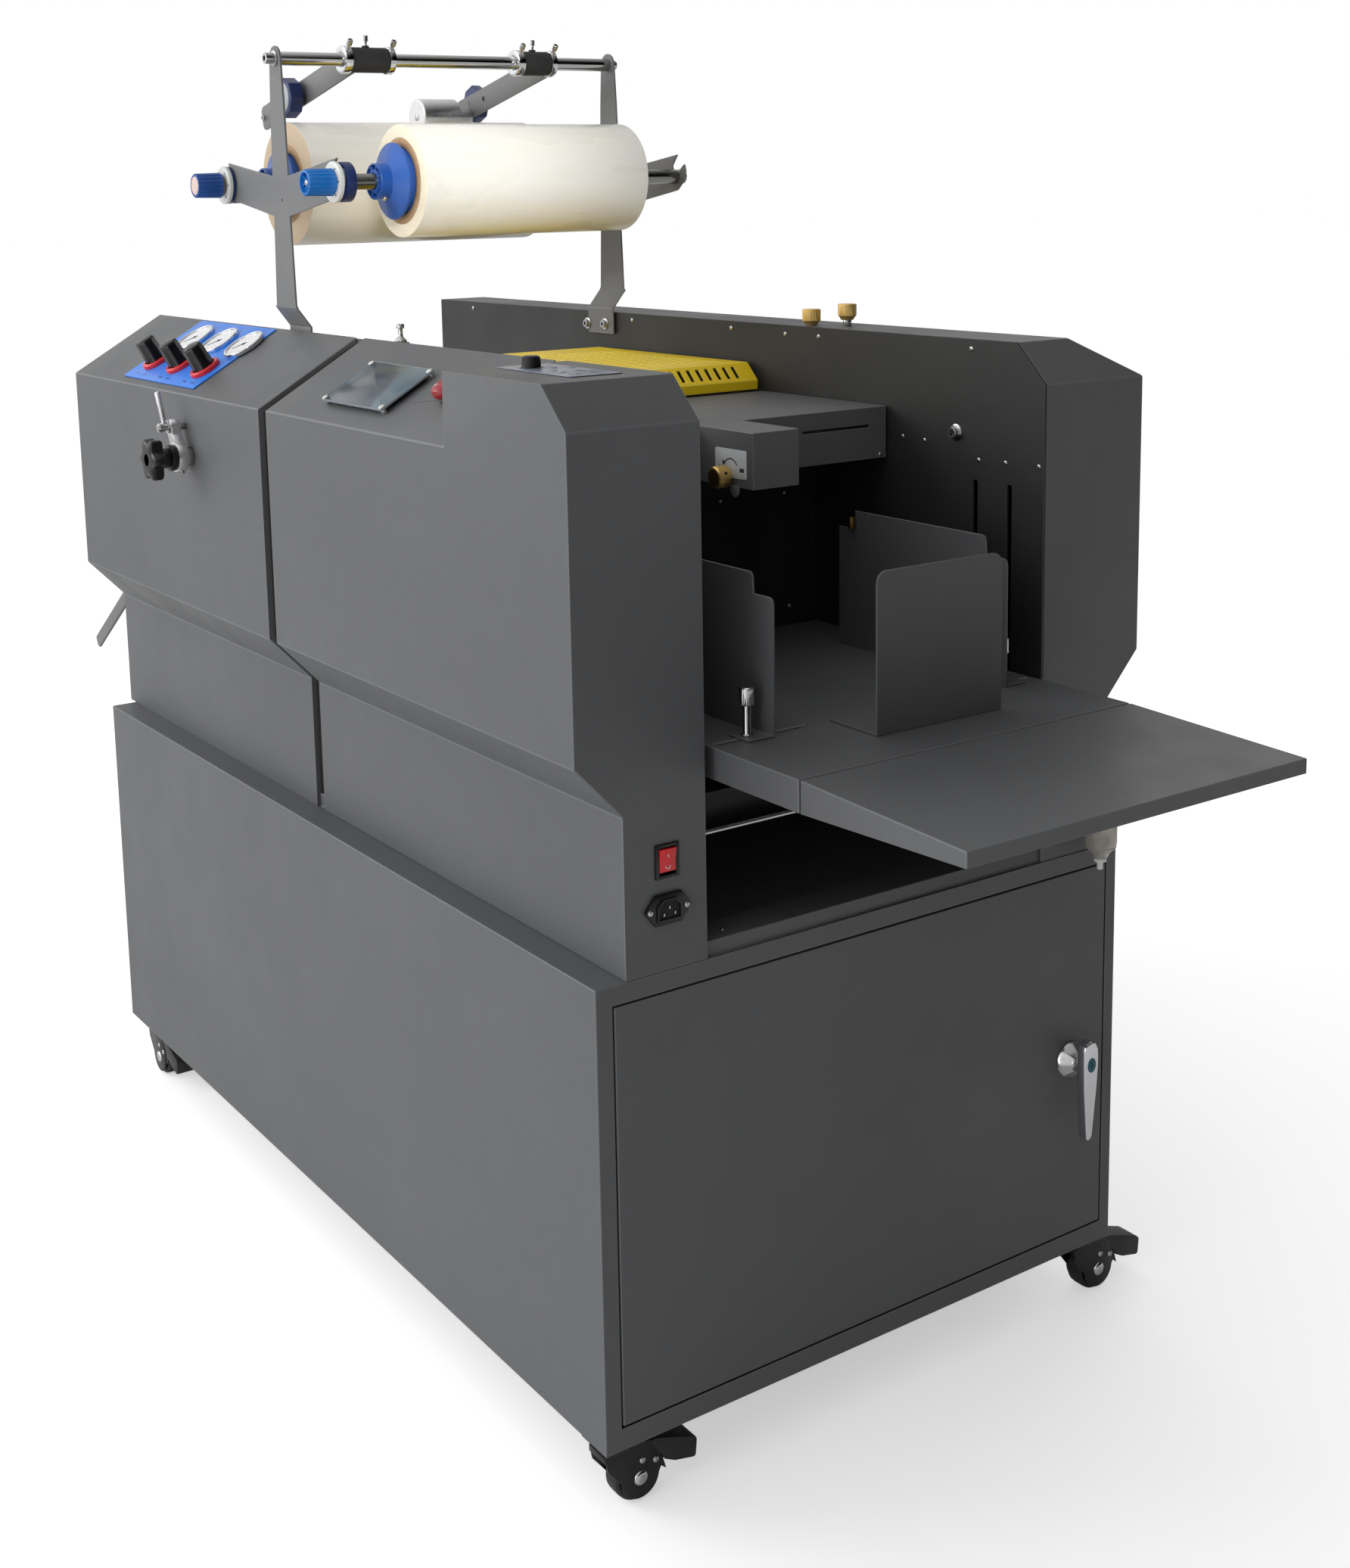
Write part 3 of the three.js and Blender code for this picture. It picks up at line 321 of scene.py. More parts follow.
screen_painted_reflection = painted_reflection_display_material()
sheet_edge = moulded("sheet_edge", (0.24, 0.27, 0.30), 0.25)
plate_grey = moulded("plate_grey", (0.36, 0.37, 0.38), 0.3)
pedal_black = moulded("pedal_black", (0.022, 0.022, 0.020), 0.45)
lock_teal = moulded("lock_teal", (0.012, 0.11, 0.15), 0.4)


# ---- mesh building
# Outlines for lathe(): the share of the radius reached at each angle.
def polygon(sides):
    half = math.pi / sides
    return lambda angle: math.cos(half) / math.cos(angle % (2 * half) - half)


def fluted(count, depth):
    return lambda angle: 1 - depth * (0.5 - 0.5 * math.cos(count * angle))


round_six = polygon(6)
round_eight = polygon(8)
knurl = fluted(36, 0.045)


def arc(cx, cy, radius, start, end, steps):
    points = []
    for i in range(steps + 1):
        angle = math.radians(start + (end - start) * i / steps)
        points.append((cx + radius * math.cos(angle), cy + radius * math.sin(angle)))
    return points


def ellipse(cx, cy, across, up, steps):
    angles = [math.tau * i / steps for i in range(steps)]
    return [(cx + across * math.cos(angle), cy + up * math.sin(angle)) for angle in angles]


def rounded_rect(x0, x1, y0, y1, radius):
    return (
        arc(x1 - radius, y1 - radius, radius, 0, 90, 4)
        + arc(x0 + radius, y1 - radius, radius, 90, 180, 4)
        + arc(x0 + radius, y0 + radius, radius, 180, 270, 4)
        + arc(x1 - radius, y0 + radius, radius, 270, 360, 4)
    )


class Builder:
    """Collects solids, each in mm in its own local frame, into one visible piece."""

    def __init__(self):
        self.bm = bmesh.new()
        self.materials = []

    def take(self, solid, material, place, bevel):
        bmesh.ops.recalc_face_normals(solid, faces=solid.faces)
        if bevel:
            edges = [e for e in solid.edges if e.is_manifold and e.calc_face_angle(0.0) > SHARP]
            bmesh.ops.bevel(solid, geom=edges, offset=bevel, segments=2, profile=0.5,
                            affect="EDGES", clamp_overlap=True)
        if material not in self.materials:
            self.materials.append(material)
        for face in solid.faces:
            face.material_index = self.materials.index(material)
        solid.transform(place)
        mesh = bpy.data.meshes.new("solid")
        solid.to_mesh(mesh)
        solid.free()
        self.bm.from_mesh(mesh)
        bpy.data.meshes.remove(mesh)

    def lathe(self, rows, material, place, sides=40, bevel=0.0, closed=False):
        """Turns (along, radius[, outline]) rows about z; closed joins the last row to the first."""
        solid = bmesh.new()
        rings = []
        for along, radius, *outline in rows:
            ring = []
            for i in range(sides):
                angle = math.tau * i / sides
                reach = radius * (outline[0](angle) if outline else 1)
                ring.append(solid.verts.new((reach * math.cos(angle), reach * math.sin(angle), along)))
            rings.append(ring)
        pairs = list(zip(rings, rings[1:]))
        if closed:
            pairs.append((rings[-1], rings[0]))
        for low, high in pairs:
            for i in range(sides):
                j = (i + 1) % sides
                solid.faces.new((low[i], low[j], high[j], high[i]))
        if not closed:
            solid.faces.new(list(reversed(rings[0])))
            solid.faces.new(rings[-1])
        self.take(solid, material, place, bevel)

    def prism(self, outline, low, high, material, place, bevel=0.0):
        """Extrudes an (x, y) outline from low to high along z."""
        solid = bmesh.new()
        base = [solid.verts.new((x, y, low)) for x, y in outline]
        top = [solid.verts.new((x, y, high)) for x, y in outline]
        solid.faces.new(list(reversed(base)))
        solid.faces.new(top)
        for i in range(len(outline)):
            j = (i + 1) % len(outline)
            solid.faces.new((base[i], base[j], top[j], top[i]))
        self.take(solid, material, place, bevel)

    def block(self, x, y, z, material, place, bevel=0.0):
        outline = [(x[0], y[0]), (x[1], y[0]), (x[1], y[1]), (x[0], y[1])]
        self.prism(outline, z[0], z[1], material, place, bevel)

    def done(self, name, body, replaces=()):
        mesh = bpy.data.meshes.new(name)
        self.bm.to_mesh(mesh)
        self.bm.free()
        for material in self.materials:
            mesh.materials.append(material)
        mesh.shade_smooth()
        mesh.set_sharp_from_angle(angle=math.radians(32))
        piece = linked(name, mesh)
        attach(piece, body)
        if replaces:
            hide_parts(*replaces)
        return piece


def ring(b, outer, inner, low, high, material, place):
    """A rim between two outlines with the same number of points."""
    solid = bmesh.new()
    rows = [[solid.verts.new((x, y, z)) for x, y in outline]
            for outline, z in ((outer, low), (outer, high), (inner, high), (inner, low))]
    count = len(outer)
    for k in range(4):
        here, there = rows[k], rows[(k + 1) % 4]
        for i in range(count):
            j = (i + 1) % count
            solid.faces.new((here[i], here[j], there[j], there[i]))
    b.take(solid, material, place, 0.3)


def narrow(face):
    """About how wide a face is across its short way, in metres."""
    perimeter = sum(edge.calc_length() for edge in face.edges)
    return 2 * face.calc_area() / perimeter


def softened(node, width, material, edge_highlight_material):
    """A copy of a CAD node with its sharp edges rolled over, as bent and painted sheet has. The rolled faces
    take the second material, a lighter copy of the paint: painted highlight along the edges.
    """
    source = NODES[node]
    bm = bmesh.new()
    bm.from_mesh(source.data)
    bmesh.ops.remove_doubles(bm, verts=bm.verts, dist=1e-6)
    bmesh.ops.dissolve_limit(bm, angle_limit=math.radians(0.5), verts=bm.verts, edges=bm.edges)
    bmesh.ops.triangulate(bm, faces=[face for face in bm.faces if len(face.verts) > 4])
    weight = bm.edges.layers.float.new("bevel_weight_edge")
    for edge in bm.edges:
        if edge.is_manifold and edge.calc_face_angle(0.0) > SHARP:
            room = 0.35 * min(narrow(face) for face in edge.link_faces)
            edge[weight] = min(1.0, room / (width * MM))
    for face in bm.faces:
        face.material_index = 0
    mesh = bpy.data.meshes.new(node + "_soft")
    bm.to_mesh(mesh)
    bm.free()
    mesh.materials.append(material)
    mesh.materials.append(edge_highlight_material)
    mesh.shade_smooth()
    mesh.set_sharp_from_angle(angle=SHARP)
    piece = linked(node + "_shell", mesh)
    modifier = piece.modifiers.new("edges", "BEVEL")
    modifier.width = width * MM
    modifier.segments = 3
    modifier.limit_method = "WEIGHT"
    modifier.harden_normals = True
    # The bevel faces take the lighter copy of the paint: painted highlight.
    modifier.material = 1
    applied = bpy.data.meshes.new_from_object(piece.evaluated_get(bpy.context.evaluated_depsgraph_get()))
    piece.modifiers.clear()
    piece.data = applied
    bpy.data.meshes.remove(mesh)
    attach(piece, source["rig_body"])
    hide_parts(node)


# ---- small parts used all over
def cap_screw(b, place, radius, height, washer=0.0):
    """A socket cap screw seen from its head; z is off the surface."""
    base = 0.0
    if washer:
        b.lathe([(0.02, washer), (1.2, washer)], screw_steel, place, 32, 0.25)
        base = 1.2
    socket = radius * 0.55
    top = base + height
    depth = base + height * 0.45
    b.lathe([(base, radius), (top - 0.4, radius), (top, radius - 0.4), (top, socket, round_six),
             (depth, socket, round_six)], screw_steel, place, 24)
    # Near-black disc at the bottom of the socket: painted shade.
    b.lathe([(depth - 0.1, socket * 0.9), (depth + 0.05, socket * 0.9)], recess_shade, place, 12)


def button_screw(b, place, radius, material=screw_steel):
    """A low domed screw."""
    rows = [(0.02, radius), (0.4, radius)]
    for i in range(1, 5):
        angle = math.radians(18 * i)
        rows.append((0.4 + 0.42 * radius * math.sin(angle), radius * math.cos(angle)))
    rows.append((rows[-1][0] - 0.05, radius * 0.26, round_six))
    rows.append((0.5, radius * 0.26, round_six))
    b.lathe(rows, material, place, 24)


# ---- sheet metal
def sheet_metal():
    charcoal = [
        ("base_cabinet", 1.2), ("cabinet_door", 1.2), ("tail_cover", 1.4), ("operator_cover", 1.4),
        ("rear_cover", 1.4), ("feed_head", 1.0), ("feed_bench", 1.1), ("extension_table", 1.2),
        ("near_guide", 0.6), ("far_guide", 0.6), ("front_stop", 0.6), ("operator_frame", 0.6),
    ]
    for node, width in charcoal:
        softened(node, width, paint, paint_edge_highlight)
    # The rear frame and feeder wall take the near-black powder: partly painted shade where the tower shades
    # them.
    for node in ("rear_frame", "feeder_wall"):
        softened(node, 0.6, dark_paint_and_shade, dark_edge_highlight)
    for node in ("rack_plate_front", "rack_plate_rear"):
        softened(node, 0.7, rack_paint, rack_edge_highlight)
    softened("film_guard", 1.2, yellow_paint, yellow_edge_highlight)


def wall_screws():
    """Fixings on the inner faces of the rear frame, the feeder wall and the cabinet's top ring."""
    b = Builder()
    for x, z in ((1024, 947), (1059, 946), (1142, 933), (1181, 934), (1228, 935)):
        button_screw(b, facing("-y", x, REAR_INNER, z), 2.6)
    for x, z in ((84, 1049), (501, 1050), (715, 1050), (820, 1048), (881, 1048), (1130, 1048)):
        button_screw(b, facing("-y", x, REAR_INNER, z), 2.8)
    cap_screw(b, facing("-y", 1108, REAR_INNER, 959), 6.0, 6.0, 9.0)
    for y, z in ((415, 871), (506, 871), (512, 738)):
        button_screw(b, facing("+x", 870, y, z), 3.0)
    button_screw(b, facing("+z", 1216, 155, 536), 3.2)
    b.done("frame_screws", "cabinet")


def cover_gap():
    """A near-black sheet in the gap between the two operator covers: painted shade of the dark space behind
    them.
    """
    b = Builder()
    side = [(104, 1050), (-9, 983), (-9, 727), (39, 675), (39, 541), (104, 541)]
    b.prism(side, 595.4, 614.6, recess_shade, facing("+x"))
    b.done("cover_gap_painted_shade", "cabinet")


def rack_fixings():
    b = Builder()
    for x, z in ((404, 1042), (446, 1043)):
        cap_screw(b, facing("-y", x, 542.4, z), 5.0, 4.0, 7.5)
        cap_screw(b, facing("+y", x + 8, 115.5, z), 5.0, 4.0, 7.5)
    b.done("rack_foot_bolts", "cabinet")

    bar = Builder()
    front = RACK["front"]
    rear = RACK["rear"] + 1.5
    place = facing("+y", RACK["x"], 0, RACK["z"])
    bar.lathe([(front + 3.3, 8), (rear - 3.3, 8)], bar_steel, place, 40, 0.4)
    cap_screw(bar, facing("-y", RACK["x"], front - 0.3, RACK["z"]), 6.5, 11.0, 9.3)
    cap_screw(bar, facing("+y", RACK["x"], rear + 0.3, RACK["z"]), 6.0, 8.0, 9.0)
    for low, high in ((front - 0.2, front + 3.4), (rear - 3.4, rear + 0.2)):
        bar.lathe([(low, 4), (high, 4)], screw_steel, place, 20)
    bar.done("rack_tie_bar", "cabinet", ["rack_bar"])


# ---- film rolls
CHUCK = [
    (-34, 9.2), (-34, 13.3), (-29, 13.5), (-29, 18), (-34, 18.2), (-34, 20), (-33.4, 20.5), (-20.4, 20.5),
    (-19, 22), (-11.4, 42.6), (-10.6, 43.4), (-8.4, 43.4), (-8.2, 42), (-8.2, 9.2),
]


def shaft(name):
    """A roll's spindle axis: z runs from the front plate to the rear one."""
    return facing("+y", ROLLS[name]["x"], 0, RACK["shaft_z"])


def spindle_rod(name):
    roll = ROLLS[name]
    front, rear = RACK["front"], RACK["rear"]
    b = Builder()
    b.lathe([
        (front - 31 + roll["shift"], 5.9), (front + 4, 5.9), (front + 4, 9), (rear - 3, 9), (rear - 3, 6.5),
        (rear + 3, 6.5), (rear + 3, 9), (rear + 9, 9),
    ], shaft_steel, shaft(name), 36, 0.5)
    back = front - 12 + roll["shift"]
    if back < front - roll["disc"] - 1:
        b.lathe([(back + 0.3, 11.2), (front - roll["disc"] - 0.2, 11.2)], brass_dark, shaft(name), 40, 0.3)
    b.done(f"spindle_rod_{name}", f"{name}_spindle", [f"film_spindle_{name}"])


def rack_discs(name):
    """White disc outside the front plate, dark ones behind it and inside the plate."""
    place = shaft(name)
    front = RACK["front"]
    outer = front - ROLLS[name]["disc"]
    seam = outer + 4.6
    b = Builder()
    b.lathe([(outer, 22.4), (outer + 0.4, 23), (seam, 23)], white_plastic, place, 56, 0.3)
    if seam < front - 1:
        b.lathe([(seam, 22.8), (front - 0.4, 22.8)], blue_dark, place, 56, 0.2)
    b.lathe([(front + 3.4, 22.4), (front + 15.5, 22.4)], blue_dark, place, 56, 0.5)
    # Six holes in the white disc, drawn as near-black discs: painted shade.
    for i in range(6):
        across = spun("Z", 60 * i) @ moved(16.5, 0, outer)
        b.lathe([(-0.15, 1.3), (0.1, 1.3)], recess_shade, place @ across, 10)
    b.done(f"rack_discs_{name}", f"{name}_spindle")


def film_chucks(name):
    """Near chuck: a ribbed hub that opens as a shallow cone to a thin rim. Far chuck: a plain plug."""
    place = shaft(name)
    start = ROLLS[name]["start"]
    end = start + ROLLS[name]["width"]
    b = Builder()
    b.lathe([(start + along, radius) for along, radius in CHUCK], blue_bright, place, 72, 0.25, closed=True)
    for i in range(8):
        rib = place @ spun("Z", 45 * i + 20)
        b.block((13, 18.6), (-1.6, 1.6), (start - 33.6, start - 28.8), blue_bright, rib, 0.3)
    b.lathe([(start - 8.4, 37.4), (start + 12, 37.4), (start + 15, 35)], blue_bright, place, 48, 0.5)
    b.lathe([(end - 15, 35), (end - 12, 37.4), (end + 2, 37.4)], blue_bright, place, 48, 0.5)
    screw = place @ moved(0, 0, start - 26) @ spun("Z", -120) @ spun("Y", 90)
    b.lathe([(18, 3), (24, 3)], screw_steel, screw, 16, 0.3)
    b.done(f"film_chucks_{name}", f"{name}_spindle")


def wound_film(name):
    place = shaft(name)
    radius = ROLLS[name]["radius"]
    start = ROLLS[name]["start"]
    end = start + ROLLS[name]["width"]
    core = Builder()
    core.lathe([(start - 0.4, 38.6), (start - 0.4, 49), (end + 0.4, 49), (end + 0.4, 38.6)],
               cardboard, place, 64, 0.3, closed=True)
    core.done(f"film_core_{name}", f"{name}_spindle")
    wound = Builder()
    wound.lathe([(start, 49.1), (start, radius - 0.8), (start + 0.2, radius - 0.3), (start + 0.8, radius),
                 (end - 0.8, radius), (end - 0.2, radius - 0.3), (end, radius - 0.8), (end, 49.1)],
                film, place, 128, 0.0, closed=True)
    piece = wound.done(f"film_{name}", f"{name}_spindle", [f"film_roll_{name}"])
    piece.data.materials.append(film_end if name == "front" else film_end_brown)
    for face in piece.data.polygons:
        if abs(face.normal.y) > 0.9:
            face.material_index = 1


def film_knob(name):
    roll = ROLLS[name]
    place = facing("-y", roll["x"], RACK["front"] - 12 + roll["shift"], RACK["shaft_z"])
    main = blue_light if name == "front" else blue_bright
    grip = fluted(18, 0.075)
    b = Builder()
    barrel = [(0.2, 13), (0.6, 15.2, grip), (1.4, 15.6, grip), (32.2, 15.0, grip), (33.6, 14.2, grip),
              (34, 12.8)]
    if name == "front":
        b.lathe(barrel + [(34, 11.4), (24, 11)], main, place, 144)
        b.lathe([(23.9, 4.6), (31, 4.3)], main, place, 32, 0.3)
        for i in range(6):
            b.block((4, 11.4), (-0.8, 0.8), (23.9, 31.5), main, place @ spun("Z", 60 * i + 15), 0.2)
        button_screw(b, place @ moved(0, 0, 31), 3.4)
    else:
        b.lathe(barrel + [(34, 12), (32.6, 11.8)], main, place, 144)
        b.lathe([(32.5, 11.6), (33.4, 11.5), (34, 10.6)], cap_pink, place, 48, 0.2)
    b.done(f"film_knob_cap_{name}", f"{name}_knob", [f"film_knob_{name}"])


# ---- trim arms on the rack bar
ARM_DROP = 12.6
ARMS = {
    "front": {"plate": 195.0, "collar": (181.0, 248.0), "end": 276.0, "wheel": (284.0, 1339.0),
              "wheel_y": (171.5, 190.0)},
    "rear": {"plate": 470.0, "collar": (420.0, 477.0), "end": 242.0, "wheel": (230.0, 1336.0),
             "wheel_y": (473.5, 488.0)},
}


def trim_arm(name):
    arm = ARMS[name]
    y0, y1 = arm["collar"]
    place = facing("+y", RACK["x"], 0, RACK["z"])
    b = Builder()
    strap_place = facing("-y", RACK["x"], arm["plate"] + 3, RACK["z"]) @ spun("Z", ARM_DROP)
    end = -arm["end"]
    strap = [(0, 15.5), (end + 8, 15.5)] + arc(end + 8, 7.5, 8, 90, 180, 4)[1:]
    strap += arc(end + 8, -7.5, 8, 180, 270, 4) + [(0, -15.5)]
    b.prism(strap, 0, 3, rack_paint, strap_place, 0.5)
    b.lathe([(y0 + 10, 8.3), (y0 + 10, 15), (y1 - 8, 15), (y1 - 8, 8.3)], rubber, place, 40, 0.8, closed=True)
    for low, high in ((y0, y0 + 9.8), (y1 - 7.8, y1)):
        b.lathe([(low, 8.3), (low, 16.5), (high, 16.5), (high, 8.3)], chrome, place, 40, 0.7, closed=True)
    for y, lean in ((y0 + 5, 40), ((y0 + y1) / 2, 0), (y1 - 4, 40)):
        up = facing("+z", RACK["x"], y, RACK["z"]) @ spun("Y", lean)
        b.lathe([(13, 4.4), (17, 4.4)], chrome if lean else rubber, up, 20, 0.4)
        b.lathe([(14, 2.1), (23, 2.1)], screw_steel, up, 16)
        cap_screw(b, up @ moved(0, 0, 22), 3.5, 7.0)
    if name == "front":
        cap_screw(b, facing("-y", 172, arm["plate"], 1319), 3.6, 3.6)
    else:
        # A hole in the plate, drawn as a near-black disc: painted shade.
        b.lathe([(0.05, 3.5), (0.15, 3.5)], recess_shade, facing("-y", 269, arm["plate"], 1341), 24)
    b.done(f"trim_arm_assembly_{name}", f"{name}_arm", [f"trim_arm_{name}"])


def trim_wheel(name):
    arm = ARMS[name]
    x, z = arm["wheel"]
    low, high = arm["wheel_y"]
    behind = low > arm["plate"]
    wheel_place = facing("+y", x, 0, z)
    w = Builder()
    w.lathe([(low, 23, round_eight), (low + 1.5, 25, round_eight), (high - 1.5, 25, round_eight),
             (high, 23, round_eight)], blue_dark, wheel_place, 64, 0.5)
    pin = (low - 3.5, low - 1) if behind else (high + 1, high + 5)
    w.lathe([(pin[0], 4), (pin[1], 4)], screw_steel, wheel_place, 20)
    outer = facing("+y", x, high, z) if behind else facing("-y", x, low, z)
    w.lathe([(-0.1, 19), (0.9, 18.6)], plate_grey, outer, 48, 0.2)
    cap_screw(w, outer @ moved(0, 0, 0.8), 4.0, 3.0)
    w.done(f"trim_wheel_body_{name}", f"{name}_arm_wheel", [f"trim_wheel_{name}"])


def weight():
    b = Builder()
    place = facing("+y", 228, 0, 1318)
    b.lathe([(390, 20), (390, 22.4), (391.2, 23.8), (393, 24), (445, 24), (446.5, 22.5), (450, 13), (454, 12),
             (469.6, 12)], casting, place, 64, 0.3)
    b.lathe([(389.2, 5), (390.2, 5)], screw_steel, place, 20, 0.2)
    b.done("weight_roller_body", "weight", ["weight_roller"])


# ---- control slope
KNOBS = (191.0, 271.0, 351.0)
GAUGES = (211.0, 290.0, 368.0)
KNOB_UP = 47.0
GAUGE_UP = 99.0
PANEL_TOP = 1.8


def regulator_plate():
    b = Builder()
    b.prism(rounded_rect(148, 385, 11, 139, 3), 0.3, PANEL_TOP, blue_sheet, on_slope(0, 0), 0.3)
    for x in KNOBS:
        b.lathe([(PANEL_TOP + 0.05, 15), (PANEL_TOP + 0.05, 19.5), (PANEL_TOP + 4.6, 19.5),
                 (PANEL_TOP + 6, 18.2), (PANEL_TOP + 6, 15)], bright_red, on_slope(x, KNOB_UP), 48, 0.3,
                closed=True)
        for side in (-1, 1):
            b.block((-5, 5), (-0.8, 0.8), (PANEL_TOP, PANEL_TOP + 0.2), print_blue,
                    on_slope(x + side * 13, KNOB_UP - 27))
    b.done("regulator_plate", "cabinet", ["regulator_panel"])


def gauges():
    g = Builder()
    for x in GAUGES:
        place = on_slope(x, GAUGE_UP)
        g.lathe([(PANEL_TOP, 23.5), (PANEL_TOP, 27), (6.2, 27), (7.2, 26), (7.2, 24.2), (6, 23.5)],
                chrome, place, 64, 0.2, closed=True)
        g.lathe([(PANEL_TOP, 24), (5.6, 24)], dial_white, place, 56)
        for i in range(11):
            tick = place @ spun("Z", 225 - 27 * i)
            g.block((19.5, 21.5), (-0.25, 0.25), (5.55, 5.7), plate_grey, tick)
        g.prism([(-5, -0.7), (17, -0.25), (17, 0.25), (-5, 0.7)], 5.8, 6.1, print_dark,
                place @ spun("Z", 225))
        g.lathe([(5.6, 2.2), (6.4, 2)], black_plastic, place, 20, 0.2)
    g.done("pressure_gauges", "cabinet")


def regulator_knobs():
    for number, (letter, x) in enumerate(zip("abc", KNOBS), 1):
        k = Builder()
        place = on_slope(x, KNOB_UP) @ spun("Z", 22.5)
        k.lathe([(2.2, 9), (8, 9)], black_plastic, place, 32, 0.3)
        k.lathe([(6.5, 13.6), (7.5, 14, round_eight), (33, 12.9, round_eight), (35.6, 11.9, round_eight),
                 (36.8, 10)], black_plastic, place, 64, 0.8)
        k.lathe([(36.4, 6), (37, 5.6)], black_plastic, place, 32, 0.2)
        node = f"regulator_knob_{number}"
        k.done(f"regulator_cap_{letter}", f"regulator_{letter}", [node])


def screen():
    b = Builder()
    place = on_slope(0, 0)
    b.prism(rounded_rect(721, 857, 27, 97, 1), 5.2, 7.4, screen_painted_reflection, place, 0.25)
    ring(b, rounded_rect(720, 858, 26, 98, 1.5), rounded_rect(720.9, 857.1, 26.9, 97.1, 1.2), 5.1, 7.6,
         sheet_edge, place)
    b.prism(rounded_rect(731, 846, 33, 91, 1), 0.3, 5.1, black_plastic, place, 0.5)
    b.done("screen_display", "cabinet", ["touch_screen"])
    posts = Builder()
    for x, up in ((724, 30), (854, 30), (724, 94), (854, 94)):
        posts.lathe([(0.3, 3.2), (5.1, 3.2)], screw_steel, on_slope(x, up), 20, 0.2)
        button_screw(posts, on_slope(x, up, 7.5), 3.5, white_plastic)
    posts.done("screen_posts", "cabinet")


def stop_switch():
    place = on_slope(928, 69)
    b = Builder()
    b.lathe([(0.2, 6.6), (0.2, 11.4), (0.6, 11.8), (0.7, 6.6)], black_plastic, place, 48, 0.1, closed=True)
    b.done("stop_button_base", "cabinet")
    h = Builder()
    h.lathe([(-7.5, 5.9), (4.8, 5.9)], black_plastic, place, 48)
    h.lathe([(4.8, 9), (4.8, 11.6), (6, 13.4), (7.5, 14), (11.5, 14), (14.6, 12.6), (16.1, 10.6), (16.9, 7.4),
             (17, 3)], red_plastic, place, 56, 0.4)
    for turn in (40, 220):
        mark = place @ spun("Z", turn)
        h.prism([(4, -1.0), (7, -1.0), (7, -2.2), (9.2, 0), (7, 2.2), (7, 1.0), (4, 1.0)], 16.4, 17.0,
                cap_pink, mark, 0.1)
    h.done("stop_button_head", "emergency_button", ["stop_button"])


def speed_dial():
    return facing("+z", 1069, 53, TOWER_TOP)


def keypad():
    b = Builder()
    place = facing("+z", 0, 0, TOWER_TOP)
    b.prism(rounded_rect(1040, 1170, 32, 88, 3), 0.3, 1.1, keypad_film, place, 0.2)
    keys = ((1085, 68), (1132, 48), (1092, 83), (1122, 70), (1131, 70), (1146, 70), (1110, 52), (1152, 52))
    for x, y in keys:
        b.prism(ellipse(x, y, 4.5, 2.6, 24), 1.1, 1.35, print_blue, place, 0.1)
    b.lathe([(1.1, 10.5), (1.1, 11.3), (1.3, 11.3), (1.3, 10.5)], print_dark, speed_dial(), 40,
            closed=True)
    b.done("keypad_sheet", "cabinet", ["keypad"])


def speed_knob():
    k = Builder()
    dial = speed_dial()
    grip = fluted(30, 0.05)
    k.lathe([(-7.5, 3.6), (1.5, 3.6), (1.5, 9), (2.4, 9.1, grip), (10.2, 8.4, grip), (11.2, 8.2),
             (12, 7.4)], black_plastic, dial, 120)
    k.lathe([(11.9, 6.4), (12.2, 6.2)], black_plastic, dial, 32)
    k.block((2.5, 8.2), (-0.5, 0.5), (11.8, 12.3), white_plastic, dial @ spun("Z", 120))
    k.done("speed_knob_cap", "speed_dial", ["speed_knob"])


def rocker():
    b = Builder()
    face = facing("+x", FEEDER_FACE, 0, 0)
    bezel = (
        ((66, 70), (609, 641)), ((88, 92), (609, 641)), ((70, 88), (609, 612.2)), ((70, 88), (637.8, 641)),
    )
    for across, up in bezel:
        b.block(across, up, (0.1, 2.2), black_plastic, face, 0.5)
    b.done("rocker_bezel", "cabinet")

    r = Builder()
    side_on = Matrix([(0, 0, 1, 0), (0, 1, 0, 0), (-1, 0, 0, 0), (0, 0, 0, 1)])
    seat = facing("+x", 1234, 79, 625) @ spun("X", -7)
    cross = [(3, -11), (-3.2, -10.4), (-4.4, 0), (-7.4, 11), (3, 11)]
    r.prism(cross, -8.8, 8.8, bright_red, seat @ side_on, 0.5)
    high = seat @ moved(0, 5.5, 5.9) @ spun("X", -15.3)
    low = seat @ moved(0, -5.2, 3.8) @ spun("X", -6.6)
    r.block((-0.5, 0.5), (-2.2, 2.2), (-0.1, 0.12), white_plastic, high)
    r.lathe([(-0.1, 1.9), (-0.1, 2.7), (0.12, 2.7), (0.12, 1.9)], white_plastic, low, 32, closed=True)
    r.done("rocker_cap", "rocker", ["rocker_switch"])


